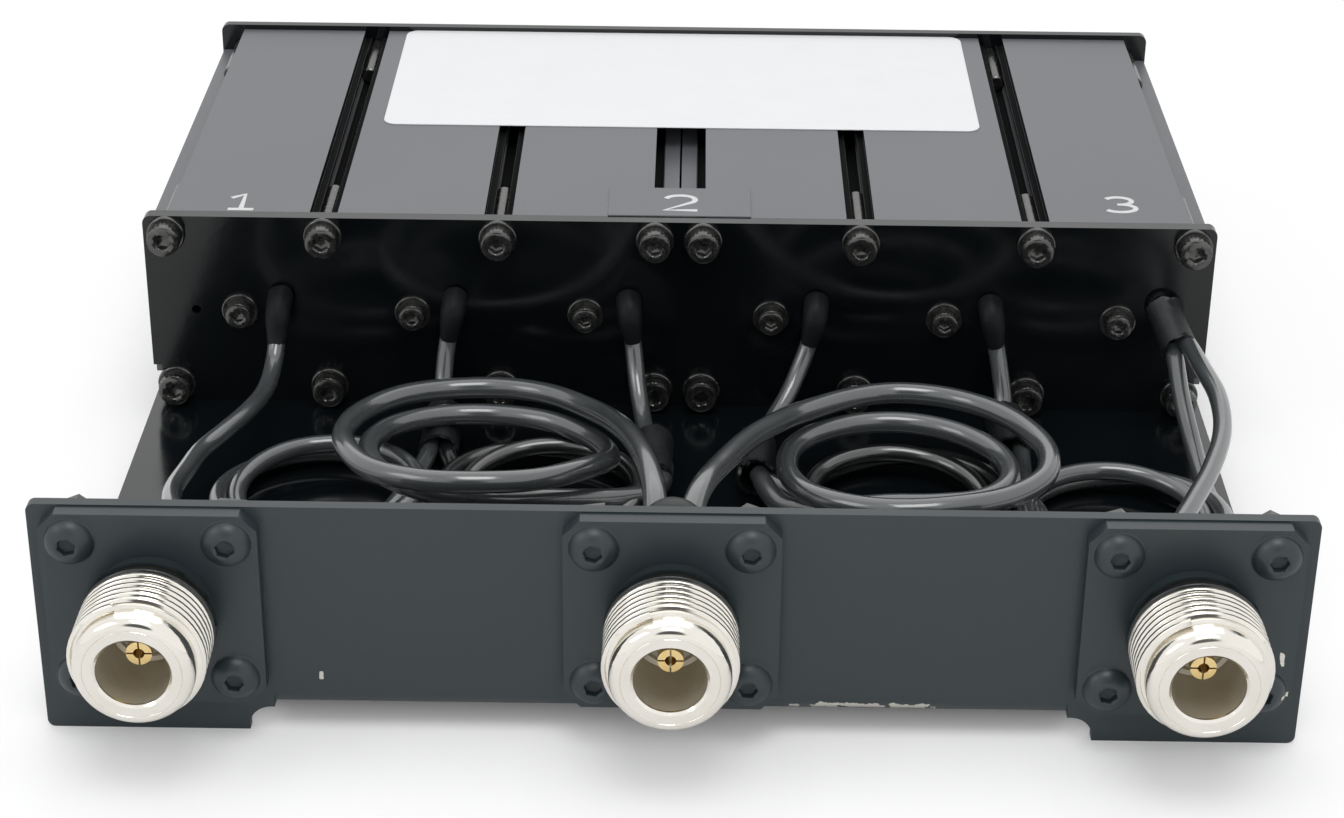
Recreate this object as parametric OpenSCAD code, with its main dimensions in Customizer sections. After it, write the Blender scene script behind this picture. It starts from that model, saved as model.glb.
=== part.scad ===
// Six-cavity duplexer: a folded tray with three coaxial jacks on its front panel,
// two three-cavity extrusions clamped between end plates, tuning screws at the rear,
// and a coaxial harness that lies in the open tray.
// Millimetres. X runs along the panel, Y from the jacks to the tuning screws, Z up.

/* [Tray] */
// Width of the tray and of its front panel
tray_width = 150; // [145:1:180]
// Height of the front panel above the table
panel_height = 30.7; // [30:0.1:36]
// Thickness of the folded sheet
sheet = 1.5; // [1:0.1:2]
// Clear height under the tray floor
floor_clearance = 3.2; // [3:0.1:6]
// Distance from the panel's face to the front plate of the cavity block
tray_depth = 77; // [77:1:95]
// Inside radius of the fold between panel and floor
fold_radius = 0.8; // [0.5:0.1:1.5]
// Width of each foot at the ends of the panel
foot_width = 24.4; // [20:0.1:26]
// Radius of the fillet between a foot and the panel's lower edge
foot_fillet = 2.6; // [1:0.1:3]
// How far the floor is cut back behind a foot
foot_relief = 6; // [5:0.5:10]
// Radius of the panel's outer corners
panel_corner = 1; // [0.5:0.1:2]

/* [Cavity block] */
// Length of each extrusion
cavity_length = 73.5; // [70:0.5:120]
// Height of each extrusion
block_height = 28.6; // [27:0.1:32]
// How far the extrusions and the front plate stand in from each end of the tray
end_setback = 0.2; // [0:0.05:2]
// Gap between the two extrusions
half_gap = 0.3; // [0.2:0.1:1]
// Distance between neighbouring cavity axes
cavity_pitch = 24.4; // [24:0.1:26]
// Inside width of a cavity
cavity_width = 20.5; // [18:0.1:20.8]
// Wall above and below a cavity
cavity_wall = 1.8; // [1.5:0.1:2.5]
// Inside corner radius of a cavity
cavity_corner = 1.5; // [0.5:0.1:3]
// Depth of a screw port's axis under the extrusion's top or bottom face
port_depth = 2.7; // [2.4:0.1:3.2]
// Distance of an end port's axis from the extrusion's end
port_inset = 3.2; // [2.8:0.1:4]
// Radius of the wall around a screw port
port_wall = 2.6; // [2:0.1:3]
// Width of the slit that opens a port to the outside
slit_width = 1.9; // [1:0.1:2.2]
// Width of the groove along a slit
groove_width = 3.9; // [3:0.1:5]
// Depth of the groove along a slit
groove_depth = 1.2; // [0.3:0.1:1.3]
// Width of the step at the ends of an extrusion
step_width = 3.5; // [3:0.1:5]
// Depth of the step at the ends of an extrusion
step_depth = 3.5; // [3:0.1:4]
// Length of the window cut in an outer slit
window_length = 8.5; // [5:0.5:15]
// Distance of the window from the extrusion's rear end
window_inset = 5; // [3:0.5:12]
// Width of the window
window_width = 2.1; // [2:0.1:3.6]
// Depth of the window
window_depth = 4.5; // [3:0.1:6]

/* [End plates] */
// Thickness of the front plate
front_plate = 2; // [1.5:0.1:3]
// Thickness of the rear plate
rear_plate = 1.5; // [1:0.1:3]
// How far the rear plate stands above the extrusions
rear_rise = 0.8; // [0:0.1:2]
// Corner radius of both plates
plate_corner = 1.2; // [0.5:0.1:2]
// Width of the notch at the front plate's lower corners
notch_width = 1.2; // [0.5:0.1:2]
// Height of the notch at the front plate's lower corners
notch_height = 5.5; // [3:0.1:8]
// Diameter of the cable holes in the front plate
cable_hole = 3.3; // [3.2:0.1:5]
// Sideways distance of a cable hole from its cavity's axis
cable_hole_offset = 6.2; // [5:0.1:7]
// Height of a cable hole above its cavity's axis
cable_hole_rise = 2.5; // [0:0.1:5]
// Diameter of the sight hole beside the first cavity's screw
sight_hole = 1.3; // [0.8:0.1:2]

/* [Plate screws] */
// Thread diameter of the plate screws
plate_screw = 2.5; // [2:0.1:3]
// Head diameter of the plate screws
plate_screw_head = 4.6; // [4:0.1:5.5]
// Head height of the plate screws
plate_screw_head_height = 2.5; // [2:0.1:3]
// Width across flats of the plate screws' socket
plate_screw_socket = 2; // [1.5:0.1:2.5]
// How far a plate screw reaches into its port
plate_screw_reach = 13.4; // [4:0.2:15]
// Diameter of the washers under the plate screws
plate_washer = 5.4; // [5:0.1:6]
// Thickness of the washers under the plate screws
plate_washer_thickness = 0.6; // [0.3:0.1:1]
// Thread diameter of the screws that hold the resonators
post_screw = 2; // [1.6:0.1:2.5]
// Head diameter of the resonator screws
post_screw_head = 3.8; // [3.4:0.1:4.5]
// Head height of the resonator screws
post_screw_head_height = 2; // [1.5:0.1:2.5]
// Width across flats of the resonator screws' socket
post_screw_socket = 1.5; // [1.2:0.1:2]
// Diameter of the washers under the resonator screws
post_washer = 5.2; // [4.6:0.1:6]
// Thickness of the washers under the resonator screws
post_washer_thickness = 0.5; // [0.3:0.1:1]

/* [Resonators] */
// Diameter of a resonator's post
post_diameter = 4.4; // [4:0.1:6]
// Length of a resonator's post
post_length = 5; // [4:0.5:8]
// Mean radius of a resonator's coil
coil_radius = 6; // [5.6:0.1:7]
// Diameter of a resonator's wire
coil_wire = 1.6; // [1:0.1:2]
// Turns in a resonator's coil
coil_turns = 6; // [4:1:8]
// Distance between a coil's turns
coil_pitch = 6; // [4:0.5:7]

/* [Tuning] */
// Thread diameter of a tuning screw
tuning_screw = 6; // [5:0.1:7]
// Distance that one turn moves a tuning screw
tuning_pitch = 0.75; // [0.5:0.05:1]
// Length of a tuning screw behind its lock nut
tuning_stickout = 9; // [7:0.5:14]
// Diameter of a tuning slug
slug_diameter = 8.4; // [7:0.1:9]
// Length of a tuning slug
slug_length = 14; // [10:0.5:20]
// Distance from the rear plate to a tuning slug
slug_inset = 16; // [10:0.5:24]
// Diameter of the journal that a slug turns on
journal = 4; // [3:0.1:4.6]
// Length of the journal that a slug turns on
journal_length = 8; // [5:0.5:10]
// Width across flats of a lock nut
lock_nut = 10; // [9:0.1:12]
// Thickness of a lock nut
lock_nut_thickness = 3; // [2:0.1:5]
// Width of the slot in a tuning screw's end
driver_slot = 1; // [0.8:0.1:1.4]
// Depth of the slot in a tuning screw's end
driver_slot_depth = 2; // [1:0.1:3]

/* [Jacks] */
// Distance between neighbouring jacks
jack_pitch = 60.7; // [55:0.1:61.6]
// Height of the jacks' axis above the table
jack_height = 17.8; // [17.4:0.1:19]
// Side of a jack's square flange
flange_side = 25.4; // [25:0.1:25.6]
// Thickness of a jack's flange
flange_thickness = 2; // [1.5:0.1:3]
// Cut at the flange's corners
flange_corner = 2; // [1:0.1:3]
// Distance between the flange's screws
flange_hole_spacing = 18.26; // [18:0.01:18.5]
// Diameter of a jack's outer thread
jack_thread = 15.88; // [15.5:0.01:16]
// Length of a jack's outer thread
jack_thread_length = 7.5; // [6:0.1:9]
// Diameter of the neck behind the thread
jack_neck = 14.5; // [14:0.1:15]
// Length of the neck behind the thread
jack_neck_length = 2.5; // [1:0.1:4]
// Diameter of the lip in front of the thread
jack_lip = 14.6; // [14:0.1:15]
// Length of the lip in front of the thread
jack_lip_length = 3.2; // [2:0.1:4]
// Diameter of the groove between thread and lip
jack_groove = 14.2; // [13.8:0.1:14.4]
// Width of the groove between thread and lip
jack_groove_width = 0.8; // [0.4:0.1:1.2]
// Rounding of the lip's outer front edge
lip_round = 1.5; // [0.4:0.1:1.6]
// Chamfer at the mouth of the bore
mouth_chamfer = 0.3; // [0.1:0.1:0.6]
// Inside diameter of a jack
jack_bore = 8.5; // [8.3:0.1:9]
// Diameter of a jack's boss behind the flange
jack_boss = 12.6; // [11:0.1:13]
// Length of the boss behind the panel
jack_boss_reach = 2.5; // [2:0.1:4]
// Length of the insulator in front of the flange
insulator_front = 3.5; // [2:0.1:5]
// Length of the insulator behind the boss
insulator_rear = 2; // [1:0.1:3]
// Diameter of a centre contact
contact = 3; // [2.8:0.1:3.1]
// Inside diameter of a centre contact
contact_bore = 1.3; // [1.2:0.1:1.8]
// Depth of a centre contact's tip behind the lip
contact_recess = 4.5; // [4.4:0.1:6]
// Length of the contact's slots and bore
contact_slot_length = 4; // [3:0.1:6]
// Width of the contact's slots
contact_slot = 0.2; // [0.2:0.05:0.4]
// Length of the solder tail behind the insulator
contact_tail = 3; // [2:0.1:4]

/* [Flange screws] */
// Thread diameter of the flange screws
flange_screw = 3; // [2.5:0.1:3]
// Head diameter of the flange screws
flange_screw_head = 5.7; // [5:0.1:6]
// Head height of the flange screws
flange_screw_head_height = 1.65; // [1.2:0.05:2]
// Width across flats of the flange screws' socket
flange_screw_socket = 2; // [1.5:0.1:2.5]
// Width across flats of the nuts behind the panel
flange_nut = 5.5; // [5:0.1:6]
// Thickness of the nuts behind the panel
flange_nut_thickness = 2.4; // [2:0.1:3]

/* [Base screws] */
// Thread diameter of the countersunk screws under the floor
base_screw = 2.5; // [2:0.1:3]
// Head diameter of the countersunk screws
base_screw_head = 4.7; // [4:0.1:5.5]
// Head height of the countersunk screws
base_screw_head_height = 1.2; // [1:0.1:1.4]
// Distance of the base screws from the extrusion's ends
base_screw_inset = 14; // [8:0.5:24]

/* [Label] */
// Width of the blank label
label_width = 89.5; // [60:0.5:100]
// Depth of the blank label
label_depth = 40.5; // [30:0.5:60]
// Corner radius of the blank label
label_corner = 2; // [1:0.1:4]
// Thickness of the label and of the marker strip
film = 0.2; // [0.1:0.05:0.3]
// Width of the marker strip over the middle gap
strip_width = 20; // [16:0.5:30]
// Depth of the marker strip over the middle gap
strip_depth = 9.8; // [8:0.1:14]

/* [Harness] */
// Diameter of the port leads, the stubs and the jumpers
lead = 2.5; // [2:0.1:2.8]
// Diameter of the two antenna cables
antenna_cable = 3; // [2.5:0.1:3.2]
// Diameter of a splice sleeve
sleeve = 5.7; // [5.6:0.1:6]
// Length of a splice sleeve
sleeve_length = 11; // [10:0.5:14]
// Mean radius of a jumper's coil
jumper_coil_radius = 12.1; // [11:0.1:12.4]
// Mean radius of an antenna cable's coil
antenna_coil_radius = 17.1; // [15:0.1:18]

/* [Hidden] */
$fn = 48;
hair = 0.01;
// Clearances between pieces that fit together
thread_clearance = 0.05;
running_clearance = 0.05;
hole_clearance = 0.1;
seat_clearance = 0.02;
end_clearance = 0.3;

// Heights
floor_top = floor_clearance + sheet;
block_top = floor_top + block_height;
cavity_z = floor_top + block_height / 2;
port_z = [port_depth, block_height - port_depth];
cable_hole_z = cavity_z + cable_hole_rise;

// Depths, from the panel's face
panel_back = sheet;
block_front = tray_depth + front_plate;
block_rear = block_front + cavity_length;
back = block_rear + rear_plate;
tail = back + lock_nut_thickness + tuning_stickout;
barrel_length = jack_neck_length + jack_thread_length + jack_groove_width + jack_lip_length;
lip_front = -flange_thickness - barrel_length;
middle_y = (tail + lip_front) / 2;

// Widths that follow the tray: the front plate's, and that of one three-cavity extrusion
front_plate_width = tray_width - 2 * end_setback;
half_width = (front_plate_width - half_gap) / 2;

// Cavities, counted from the left, and the ports of one extrusion from its inner end
first_cavity = half_gap / 2 + half_width / 2 - cavity_pitch;
cavity_x = [for (i = [-3:-1]) -first_cavity + (i + 1) * cavity_pitch,
            for (i = [0:2]) first_cavity + i * cavity_pitch];
half_cavities = [for (i = [-1:1]) half_width / 2 + i * cavity_pitch];
half_ports = [port_inset,
              half_width / 2 - cavity_pitch / 2,
              half_width / 2 + cavity_pitch / 2,
              half_width - port_inset];
port_x = [for (p = half_ports) -half_gap / 2 - p, for (p = half_ports) half_gap / 2 + p];
jack_x = [-jack_pitch, 0, jack_pitch];

// Fold and barrel sizes
fold_outer = fold_radius + sheet;
port_radius = plate_screw / 2 + thread_clearance;
jack_bore_rear = -flange_thickness - panel_back - jack_boss_reach;
insulator_end = jack_bore_rear - insulator_rear;
insulator_back = -flange_thickness - insulator_end;
contact_tip = barrel_length - contact_recess;
contact_end = insulator_end - contact_tail;

// Resonator and slug positions
coil_steps = 10;
post_end = block_front + post_length;
slug_rear = block_rear - slug_inset;
slug_front = slug_rear - slug_length;
screw_radius = tuning_screw / 2;
thread_depth = 0.6 * tuning_pitch;

// Boots over the jacks' solder tails: round ones at the sides, and a dome in the middle
jack_boot_radii = [2.9, 0, 2];
jack_boot_end = 14;
dome_radius = 4.2;
dome_rise = 5.5;
dome_y = insulator_back + dome_radius - 1.8;

// Harness sizes and places
sleeve_z = floor_top + sleeve / 2 + 0.05;
jumper_ring = [2 * lead, 2 * lead];
jumper_ring_z = floor_top + 0.1;
antenna_ring = [5.6, 6.2];
antenna_ring_z = 14.6;
antenna_ring_tilt = 3;
boot_radius = 2.6;
boot_length = 8;
boot_droop = 25;
boot_lean = 14;
boot_start = boot_radius * tan(boot_droop + boot_lean / 2) + 0.1;
jumper_centres = [[-47.5, 45.5], [-17.5, 46.5], [30, 48], [59, 41]];
antenna_centres = [[-26.5, 47.5], [31.5, 45]];
sleeve_places = [[-32.5, 56.5], [0, 51], [11, 50], [46, 58]];

// Routes, from the panel's face and the table
route_low_port = [[-56, 77, 21.5], [-56, 73, 20], [-55.6, 69, 17.5], [-57, 63, 14.5], [-60, 56, 13],
                  [-62.5, 48, 13], [-64, 38, 14.5], [-63.5, 27, 17], [-61.5, 19, 18.8], [-60.7, 14, 19.1]];
route_high_port = [[70.8, 70.3, 19], [72.2, 63, 18.8], [73.5, 55, 18.5], [72.6, 46, 18],
                   [69.4, 36, 17.8], [65.4, 27, 17.8], [61.8, 19, 17.8], [60.7, 14, 17.8]];
route_stub_2 = [[-31.4, 77, 21.5], [-31.5, 74, 20], [-32, 71.5, 15], [-32.4, 70, 10.5], [-32.5, 67.5, 7.6]];
route_stub_3 = [[-7, 77, 21.5], [-6.6, 73.5, 19.8], [-5.5, 70, 15], [-3, 66.5, 10], [0, 62, 7.6]];
route_stub_4 = [[19.4, 77, 21.5], [19, 73.5, 19.8], [17.5, 70, 15], [14.5, 66, 10], [11, 61, 7.6]];
route_stub_5 = [[43.8, 77, 21.5], [44, 74, 20], [44.8, 71.5, 15.5], [45.6, 70.5, 11], [46, 69, 7.6]];
route_jumper_12_start = [[-60.7, 14, 16.5], [-60.9, 19, 13.5], [-60, 25, 9.5],
                         [-56, 30.5, 7.5], [-51, 33.5, 7.3]];
route_jumper_12_end = [[-35.4, 47, 7.3], [-34.8, 52, 7.4], [-33.8, 56.5, 7.6]];
route_jumper_23_start = [[-31.2, 56.5, 7.6], [-30.2, 52, 7.4], [-29.6, 47, 7.3]];
route_jumper_23_end = [[-5.6, 44, 7.3], [-3.6, 47.8, 7.4], [-1.4, 51, 7.6]];
route_jumper_45_start = [[44.7, 58, 7.6], [43.2, 53.5, 7.4], [42, 49, 7.3]];
route_jumper_45_end = [[18.2, 44, 7.3], [15, 47.2, 7.4], [12.4, 50, 7.6]];
route_jumper_56_start = [[69.2, 70, 17], [69.6, 64, 13.5], [70.6, 57, 9.5],
                         [71.2, 49, 7.4], [71, 43, 7.3]];
route_jumper_56_end = [[46.9, 44, 7.3], [47, 51, 7.4], [47.3, 58, 7.6]];
route_antenna_low_start = [[-2.1, 12, 22.5], [-2.5, 17, 23.4], [-4.4, 26, 22.8], [-8, 35, 21.3],
                           [-13, 44.5, 19.2], [-18.5, 53, 17.3], [-22.5, 59, 16]];
route_antenna_low_end = [[-12.5, 38, 13], [-7, 42, 12.4], [-2, 45.5, 11.6], [0.8, 48, 9.6], [1.2, 51, 8]];
route_antenna_high_start = [[2.1, 12, 22.5], [2.4, 18, 23.2], [4.4, 27, 22.4], [8.2, 37, 20.5],
                            [13.5, 46.5, 18.6], [19, 54, 17.2]];
route_antenna_high_end = [[18, 34.5, 13], [15, 40.5, 12], [12, 44.8, 10.4],
                          [10.2, 47.8, 8.6], [9.7, 50, 7.8]];

// Every piece that becomes a node

// Places a piece drawn from the panel's face into the shared frame
module placed() {
    translate([0, -middle_y, 0]) children();
}

// A cylinder along +Y that starts at y
module rod(radius, length, y = 0, sides = 48) {
    translate([0, y, 0]) rotate([-90, 0, 0]) cylinder(r = radius, h = length, $fn = sides);
}

// A cone along +Y that starts at y
module taper(radius_1, radius_2, length, y = 0) {
    translate([0, y, 0]) rotate([-90, 0, 0]) cylinder(r1 = radius_1, r2 = radius_2, h = length);
}

// A hexagonal rod along +Y, given its width across flats
module hex_rod(across, length, y = 0) {
    rod(across / sqrt(3), length, y, 6);
}

// A flat outline in X and Z, extruded along +Y from y
module upright(length, y = 0) {
    translate([0, y + length, 0]) rotate([90, 0, 0]) linear_extrude(length) children();
}

// A rectangle with round corners, given by two opposite corners
module round_rect(low, high, radius) {
    union() {
        translate([low[0] + radius, low[1]]) square([high[0] - low[0] - 2 * radius, high[1] - low[1]]);
        translate([low[0], low[1] + radius]) square([high[0] - low[0], high[1] - low[1] - 2 * radius]);
        for (x = [low[0] + radius, high[0] - radius], z = [low[1] + radius, high[1] - radius])
            translate([x, z]) circle(radius);
    }
}

// The unit vector along v
function unit(v) = v / norm(v);

// The direction of a route at its point i
function heading(route, i) =
    unit(route[min(i + 1, len(route) - 1)] - route[max(i - 1, 0)]);

// A vector square to the route at every point, carried along without twist
function across(route) = [
    for (i = 0, u = unit(cross(heading(route, 0), [0.3, 0.2, 1]));
         i < len(route);
         i = i + 1, u = unit(u - (u * heading(route, i)) * heading(route, i)))
        u
];

// A round tube along a route: a ring of points at each route point, and a fan at each end
module tube(route, diameter, sides = 8) {
    side = across(route);
    rings = len(route);
    points = [
        for (i = [0:rings - 1])
            let (ahead = heading(route, i), u = side[i], v = cross(ahead, u))
                for (k = [0:sides - 1])
                    route[i] + diameter / 2 * (cos(360 * k / sides) * u + sin(360 * k / sides) * v)
    ];
    walls = [
        for (i = [0:rings - 2], k = [0:sides - 1])
            let (here = i * sides, next = (i + 1) * sides, l = (k + 1) % sides)
                each [[here + k, next + k, next + l], [here + k, next + l, here + l]]
    ];
    ends = [[for (k = [0:sides - 1]) k],
            [for (k = [sides - 1:-1:0]) (rings - 1) * sides + k]];
    polyhedron(points, concat(walls, ends));
}

// A coil's outer shape: a ring of rounded section around the Z axis
module coil_ring(radius, section) {
    rounding = section[1] / 2 - 0.3;
    rotate_extrude($fn = 96)
        round_rect([radius - section[0] / 2, 0], [radius + section[0] / 2, section[1]],
                   min(rounding, section[0] / 2 - 0.3));
}

// A socket head screw along +Y; its head is seated at y = 0
module socket_screw(thread, length, head, head_height, socket) {
    difference() {
        union() {
            rod(head / 2, head_height, -head_height);
            rod(thread / 2, length);
        }
        hex_rod(socket, head_height / 2 + hair, -head_height - hair);
    }
}

// A flat washer along +Y; its rear face is seated at y = 0
module washer(outside, inside, thickness) {
    difference() {
        rod(outside / 2, thickness, -thickness);
        rod(inside / 2, thickness + 2 * hair, -thickness - hair);
    }
}

// A hexagonal nut along +Y from y = 0
module nut(across_flats, thread, thickness) {
    difference() {
        hex_rod(across_flats, thickness);
        rod(thread / 2 + thread_clearance, thickness + 2 * hair, -hair);
    }
}

// The places of the four screws of a jack's flange
module at_flange_holes(x) {
    for (dx = [-1, 1], dz = [-1, 1])
        translate([x + dx * flange_hole_spacing / 2, 0, jack_height + dz * flange_hole_spacing / 2])
            children();
}

// The places of the plate screws
module at_ports() {
    for (x = port_x, z = port_z) translate([x, 0, floor_top + z]) children();
}

// The places of the cavities' axes
module at_cavities() {
    for (x = cavity_x) translate([x, 0, cavity_z]) children();
}

// The places of the base screws
module at_base_screws() {
    for (x = [cavity_x[1], cavity_x[4]], y = [block_front + base_screw_inset, block_rear - base_screw_inset])
        translate([x, y, 0]) children();
}

// The front panel's outline, with its two feet
module panel_outline() {
    inner = tray_width / 2 - foot_width;
    difference() {
        round_rect([-tray_width / 2, 0], [tray_width / 2, panel_height], panel_corner);
        translate([-inner, -hair]) square([2 * inner, floor_clearance + hair]);
        fold_end = inner - foot_fillet - 0.5;
        translate([-fold_end, -hair]) square([2 * fold_end, floor_clearance + fold_outer + hair]);
    }
    for (s = [-1, 1])
        difference() {
            translate([s > 0 ? inner - foot_fillet : -inner, floor_clearance - foot_fillet])
                square([foot_fillet, foot_fillet]);
            translate([s * (inner - foot_fillet), floor_clearance - foot_fillet]) circle(foot_fillet);
        }
}

// The tray: panel, fold and floor from one sheet
module base_tray() {
    fold_end = tray_width / 2 - foot_width - foot_fillet - 0.5;
    color("#1d2124") placed() difference() {
        union() {
            upright(sheet) panel_outline();
            translate([-fold_end, fold_outer, floor_clearance + fold_outer]) rotate([90, 0, 90])
                linear_extrude(2 * fold_end)
                    difference() {
                        circle(fold_outer);
                        circle(fold_radius);
                        translate([-2 * fold_outer, 0]) square(4 * fold_outer);
                        translate([0, -2 * fold_outer]) square(4 * fold_outer);
                    }
            translate([-fold_end, fold_outer, floor_clearance])
                cube([2 * fold_end, foot_relief, sheet]);
            translate([-tray_width / 2, foot_relief, floor_clearance])
                cube([tray_width, block_rear - foot_relief, sheet]);
        }
        for (x = jack_x) {
            translate([x, 0, jack_height])
                rod(jack_boss / 2 + hole_clearance, sheet + 2 * hair, -hair);
            at_flange_holes(x) rod(flange_screw / 2 + hole_clearance, sheet + 2 * hair, -hair);
        }
        at_base_screws() {
            translate([0, 0, floor_clearance - hair])
                cylinder(r = base_screw / 2 + hole_clearance, h = sheet + 2 * hair);
            translate([0, 0, floor_clearance - hair])
                cylinder(r1 = base_screw_head / 2 + hole_clearance,
                         r2 = base_screw / 2 + hole_clearance, h = base_screw_head_height);
        }
    }
}

// The section of one three-cavity extrusion, from its inner end and its lower face
module extrusion_section() {
    difference() {
        square([half_width, block_height]);
        for (x = half_cavities)
            difference() {
                round_rect([x - cavity_width / 2, cavity_wall],
                           [x + cavity_width / 2, block_height - cavity_wall], cavity_corner);
                for (p = half_ports, z = port_z) translate([p, z]) circle(port_wall);
            }
        for (p = half_ports, z = port_z) translate([p, z]) circle(port_radius);
        for (i = [1, 2]) {
            for (low = [-hair, block_height - port_depth])
                translate([half_ports[i] - slit_width / 2, low]) square([slit_width, port_depth + hair]);
            for (low = [-hair, block_height - groove_depth])
                translate([half_ports[i] - groove_width / 2, low])
                    square([groove_width, groove_depth + hair]);
        }
        for (x = [-hair, half_width - step_width], z = [-hair, block_height - step_depth])
            translate([x, z]) square([step_width + hair, step_depth + hair]);
    }
}

// One extrusion on the right of the middle gap
module extrusion() {
    difference() {
        translate([half_gap / 2, 0, floor_top]) upright(cavity_length, block_front) extrusion_section();
        translate([half_gap / 2 + half_ports[2] - window_width / 2,
                   block_rear - window_inset - window_length,
                   block_top - window_depth])
            cube([window_width, window_length, window_depth + hair]);
        at_base_screws()
            translate([0, 0, floor_top - hair])
                cylinder(r = base_screw / 2 + thread_clearance, h = cavity_wall + 2 * hair);
    }
}

module low_side_extrusion() {
    color("#24282b") placed() mirror([1, 0, 0]) extrusion();
}

module high_side_extrusion() {
    color("#24282b") placed() extrusion();
}

// The front plate, with its cable holes, screw holes and lower corner notches
module front_plate() {
    half = front_plate_width / 2;
    color("#15181a") placed() difference() {
        translate([0, 0, floor_top]) upright(front_plate, tray_depth)
            difference() {
                round_rect([-half, -plate_corner], [half, block_height], plate_corner);
                translate([-half - hair, -2 * plate_corner])
                    square([2 * half + 2 * hair, 2 * plate_corner]);
                for (x = [-half - hair, half - notch_width])
                    translate([x, -hair]) square([notch_width + hair, notch_height]);
            }
        at_ports() rod(plate_screw / 2 + hole_clearance, front_plate + 2 * hair, tray_depth - hair);
        at_cavities() {
            rod(post_screw / 2 + hole_clearance, front_plate + 2 * hair, tray_depth - hair);
            translate([cable_hole_offset, 0, cable_hole_rise])
                rod(cable_hole / 2, front_plate + 2 * hair, tray_depth - hair);
        }
        translate([cavity_x[0] - cable_hole_offset, 0, cavity_z])
            rod(sight_hole / 2, front_plate + 2 * hair, tray_depth - hair);
    }
}

// The rear plate, which reaches down to the table
module rear_plate() {
    color("#15181a") placed() difference() {
        upright(rear_plate, block_rear)
            round_rect([-tray_width / 2, 0], [tray_width / 2, block_top + rear_rise], plate_corner);
        at_ports() rod(plate_screw / 2 + hole_clearance, rear_plate + 2 * hair, block_rear - hair);
        at_cavities() rod(screw_radius + running_clearance, rear_plate + 2 * hair, block_rear - hair);
    }
}

module blank_label() {
    color("#f4f4f2") placed()
        translate([0, block_rear - label_depth, block_top]) linear_extrude(film)
            round_rect([-label_width / 2, 0], [label_width / 2, label_depth], label_corner);
}

module marker_strip() {
    color("#2c3134") placed()
        translate([-strip_width / 2, block_front, block_top]) cube([strip_width, strip_depth, film]);
}

// A jack's body: flange, boss and threaded barrel, turned about the jack's axis
module jack_body(i) {
    neck_end = jack_neck_length;
    thread_end = neck_end + jack_thread_length;
    groove_end = thread_end + jack_groove_width;
    bore = jack_bore / 2;
    lip = jack_lip / 2;
    color("#c9c6bf") placed() translate([jack_x[i - 1], -flange_thickness, jack_height])
        difference() {
            union() {
                rotate([90, 0, 0]) rotate_extrude() polygon([
                    [bore, jack_bore_rear],
                    [jack_boss / 2, jack_bore_rear],
                    [jack_boss / 2, -hair],
                    [jack_neck / 2, -hair],
                    [jack_neck / 2, neck_end],
                    [jack_thread / 2, neck_end],
                    [jack_thread / 2, thread_end],
                    [jack_groove / 2, thread_end],
                    [jack_groove / 2, groove_end],
                    [lip, groove_end],
                    for (a = [0:15:90])
                        [lip - lip_round * (1 - cos(a)), barrel_length - lip_round * (1 - sin(a))],
                    [bore + mouth_chamfer, barrel_length],
                    [bore, barrel_length - mouth_chamfer]
                ]);
                upright(flange_thickness) difference() {
                    half = flange_side / 2;
                    polygon([
                        [-half + flange_corner, -half], [half - flange_corner, -half],
                        [half, -half + flange_corner], [half, half - flange_corner],
                        [half - flange_corner, half], [-half + flange_corner, half],
                        [-half, half - flange_corner], [-half, -half + flange_corner]
                    ]);
                    circle(bore);
                }
            }
            for (dx = [-1, 1], dz = [-1, 1])
                translate([dx, 0, dz] * flange_hole_spacing / 2)
                    rod(flange_screw / 2 + hole_clearance, flange_thickness + 2 * hair, -hair);
        }
}

module jack_insulator(i) {
    color("#e9e6dd") placed() translate([jack_x[i - 1], -flange_thickness, jack_height])
        difference() {
            rod(jack_bore / 2 - seat_clearance, insulator_front - insulator_end, -insulator_front);
            rod(contact / 2 + seat_clearance, insulator_front - insulator_end + 2 * hair,
                -insulator_front - hair);
        }
}

// A centre contact: a slotted socket in front, a solder tail behind
module jack_contact(i) {
    color("#c9a24a") placed() translate([jack_x[i - 1], -flange_thickness, jack_height])
        difference() {
            rod(contact / 2, contact_tip - contact_end, -contact_tip);
            rod(contact_bore / 2, contact_slot_length + hair, -contact_tip - hair);
            for (turn = [0, 90])
                rotate([0, turn, 0])
                    translate([-contact, -contact_tip - hair, -contact_slot / 2])
                        cube([2 * contact, contact_slot_length + hair, contact_slot]);
        }
}

// The heat-shrink boots over the jacks' solder tails; the middle one turns up to its two cables
module jack_boots() {
    tail_hole = contact / 2 + hole_clearance;
    color("#101214") placed() {
        for (i = [0, 2])
            translate([jack_x[i], 0, jack_height]) difference() {
                rod(jack_boot_radii[i], jack_boot_end - insulator_back, insulator_back);
                rod(tail_hole, contact_tail + end_clearance, insulator_back - hair);
            }
        translate([0, 0, jack_height]) difference() {
            union() {
                translate([0, dome_y, 0]) cylinder(r = dome_radius, h = dome_rise);
                for (z = [0, dome_rise]) translate([0, dome_y, z]) sphere(dome_radius);
            }
            rod(jack_bore / 2 + hole_clearance, insulator_rear + end_clearance,
                insulator_back - insulator_rear - end_clearance);
            rod(tail_hole, contact_tail + end_clearance, insulator_back - hair);
        }
    }
}

// The sleeves over the splices, and the boot at the last cavity's cable hole
module splice_sleeves() {
    color("#101214") placed() {
        for (p = sleeve_places)
            translate([p[0], 0, sleeve_z]) rod(sleeve / 2, sleeve_length, p[1]);
        translate([cavity_x[5] + cable_hole_offset, tray_depth, cable_hole_z])
            rotate([boot_droop, 0, boot_lean])
                rod(boot_radius, boot_length - boot_start, -boot_length);
    }
}

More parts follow.
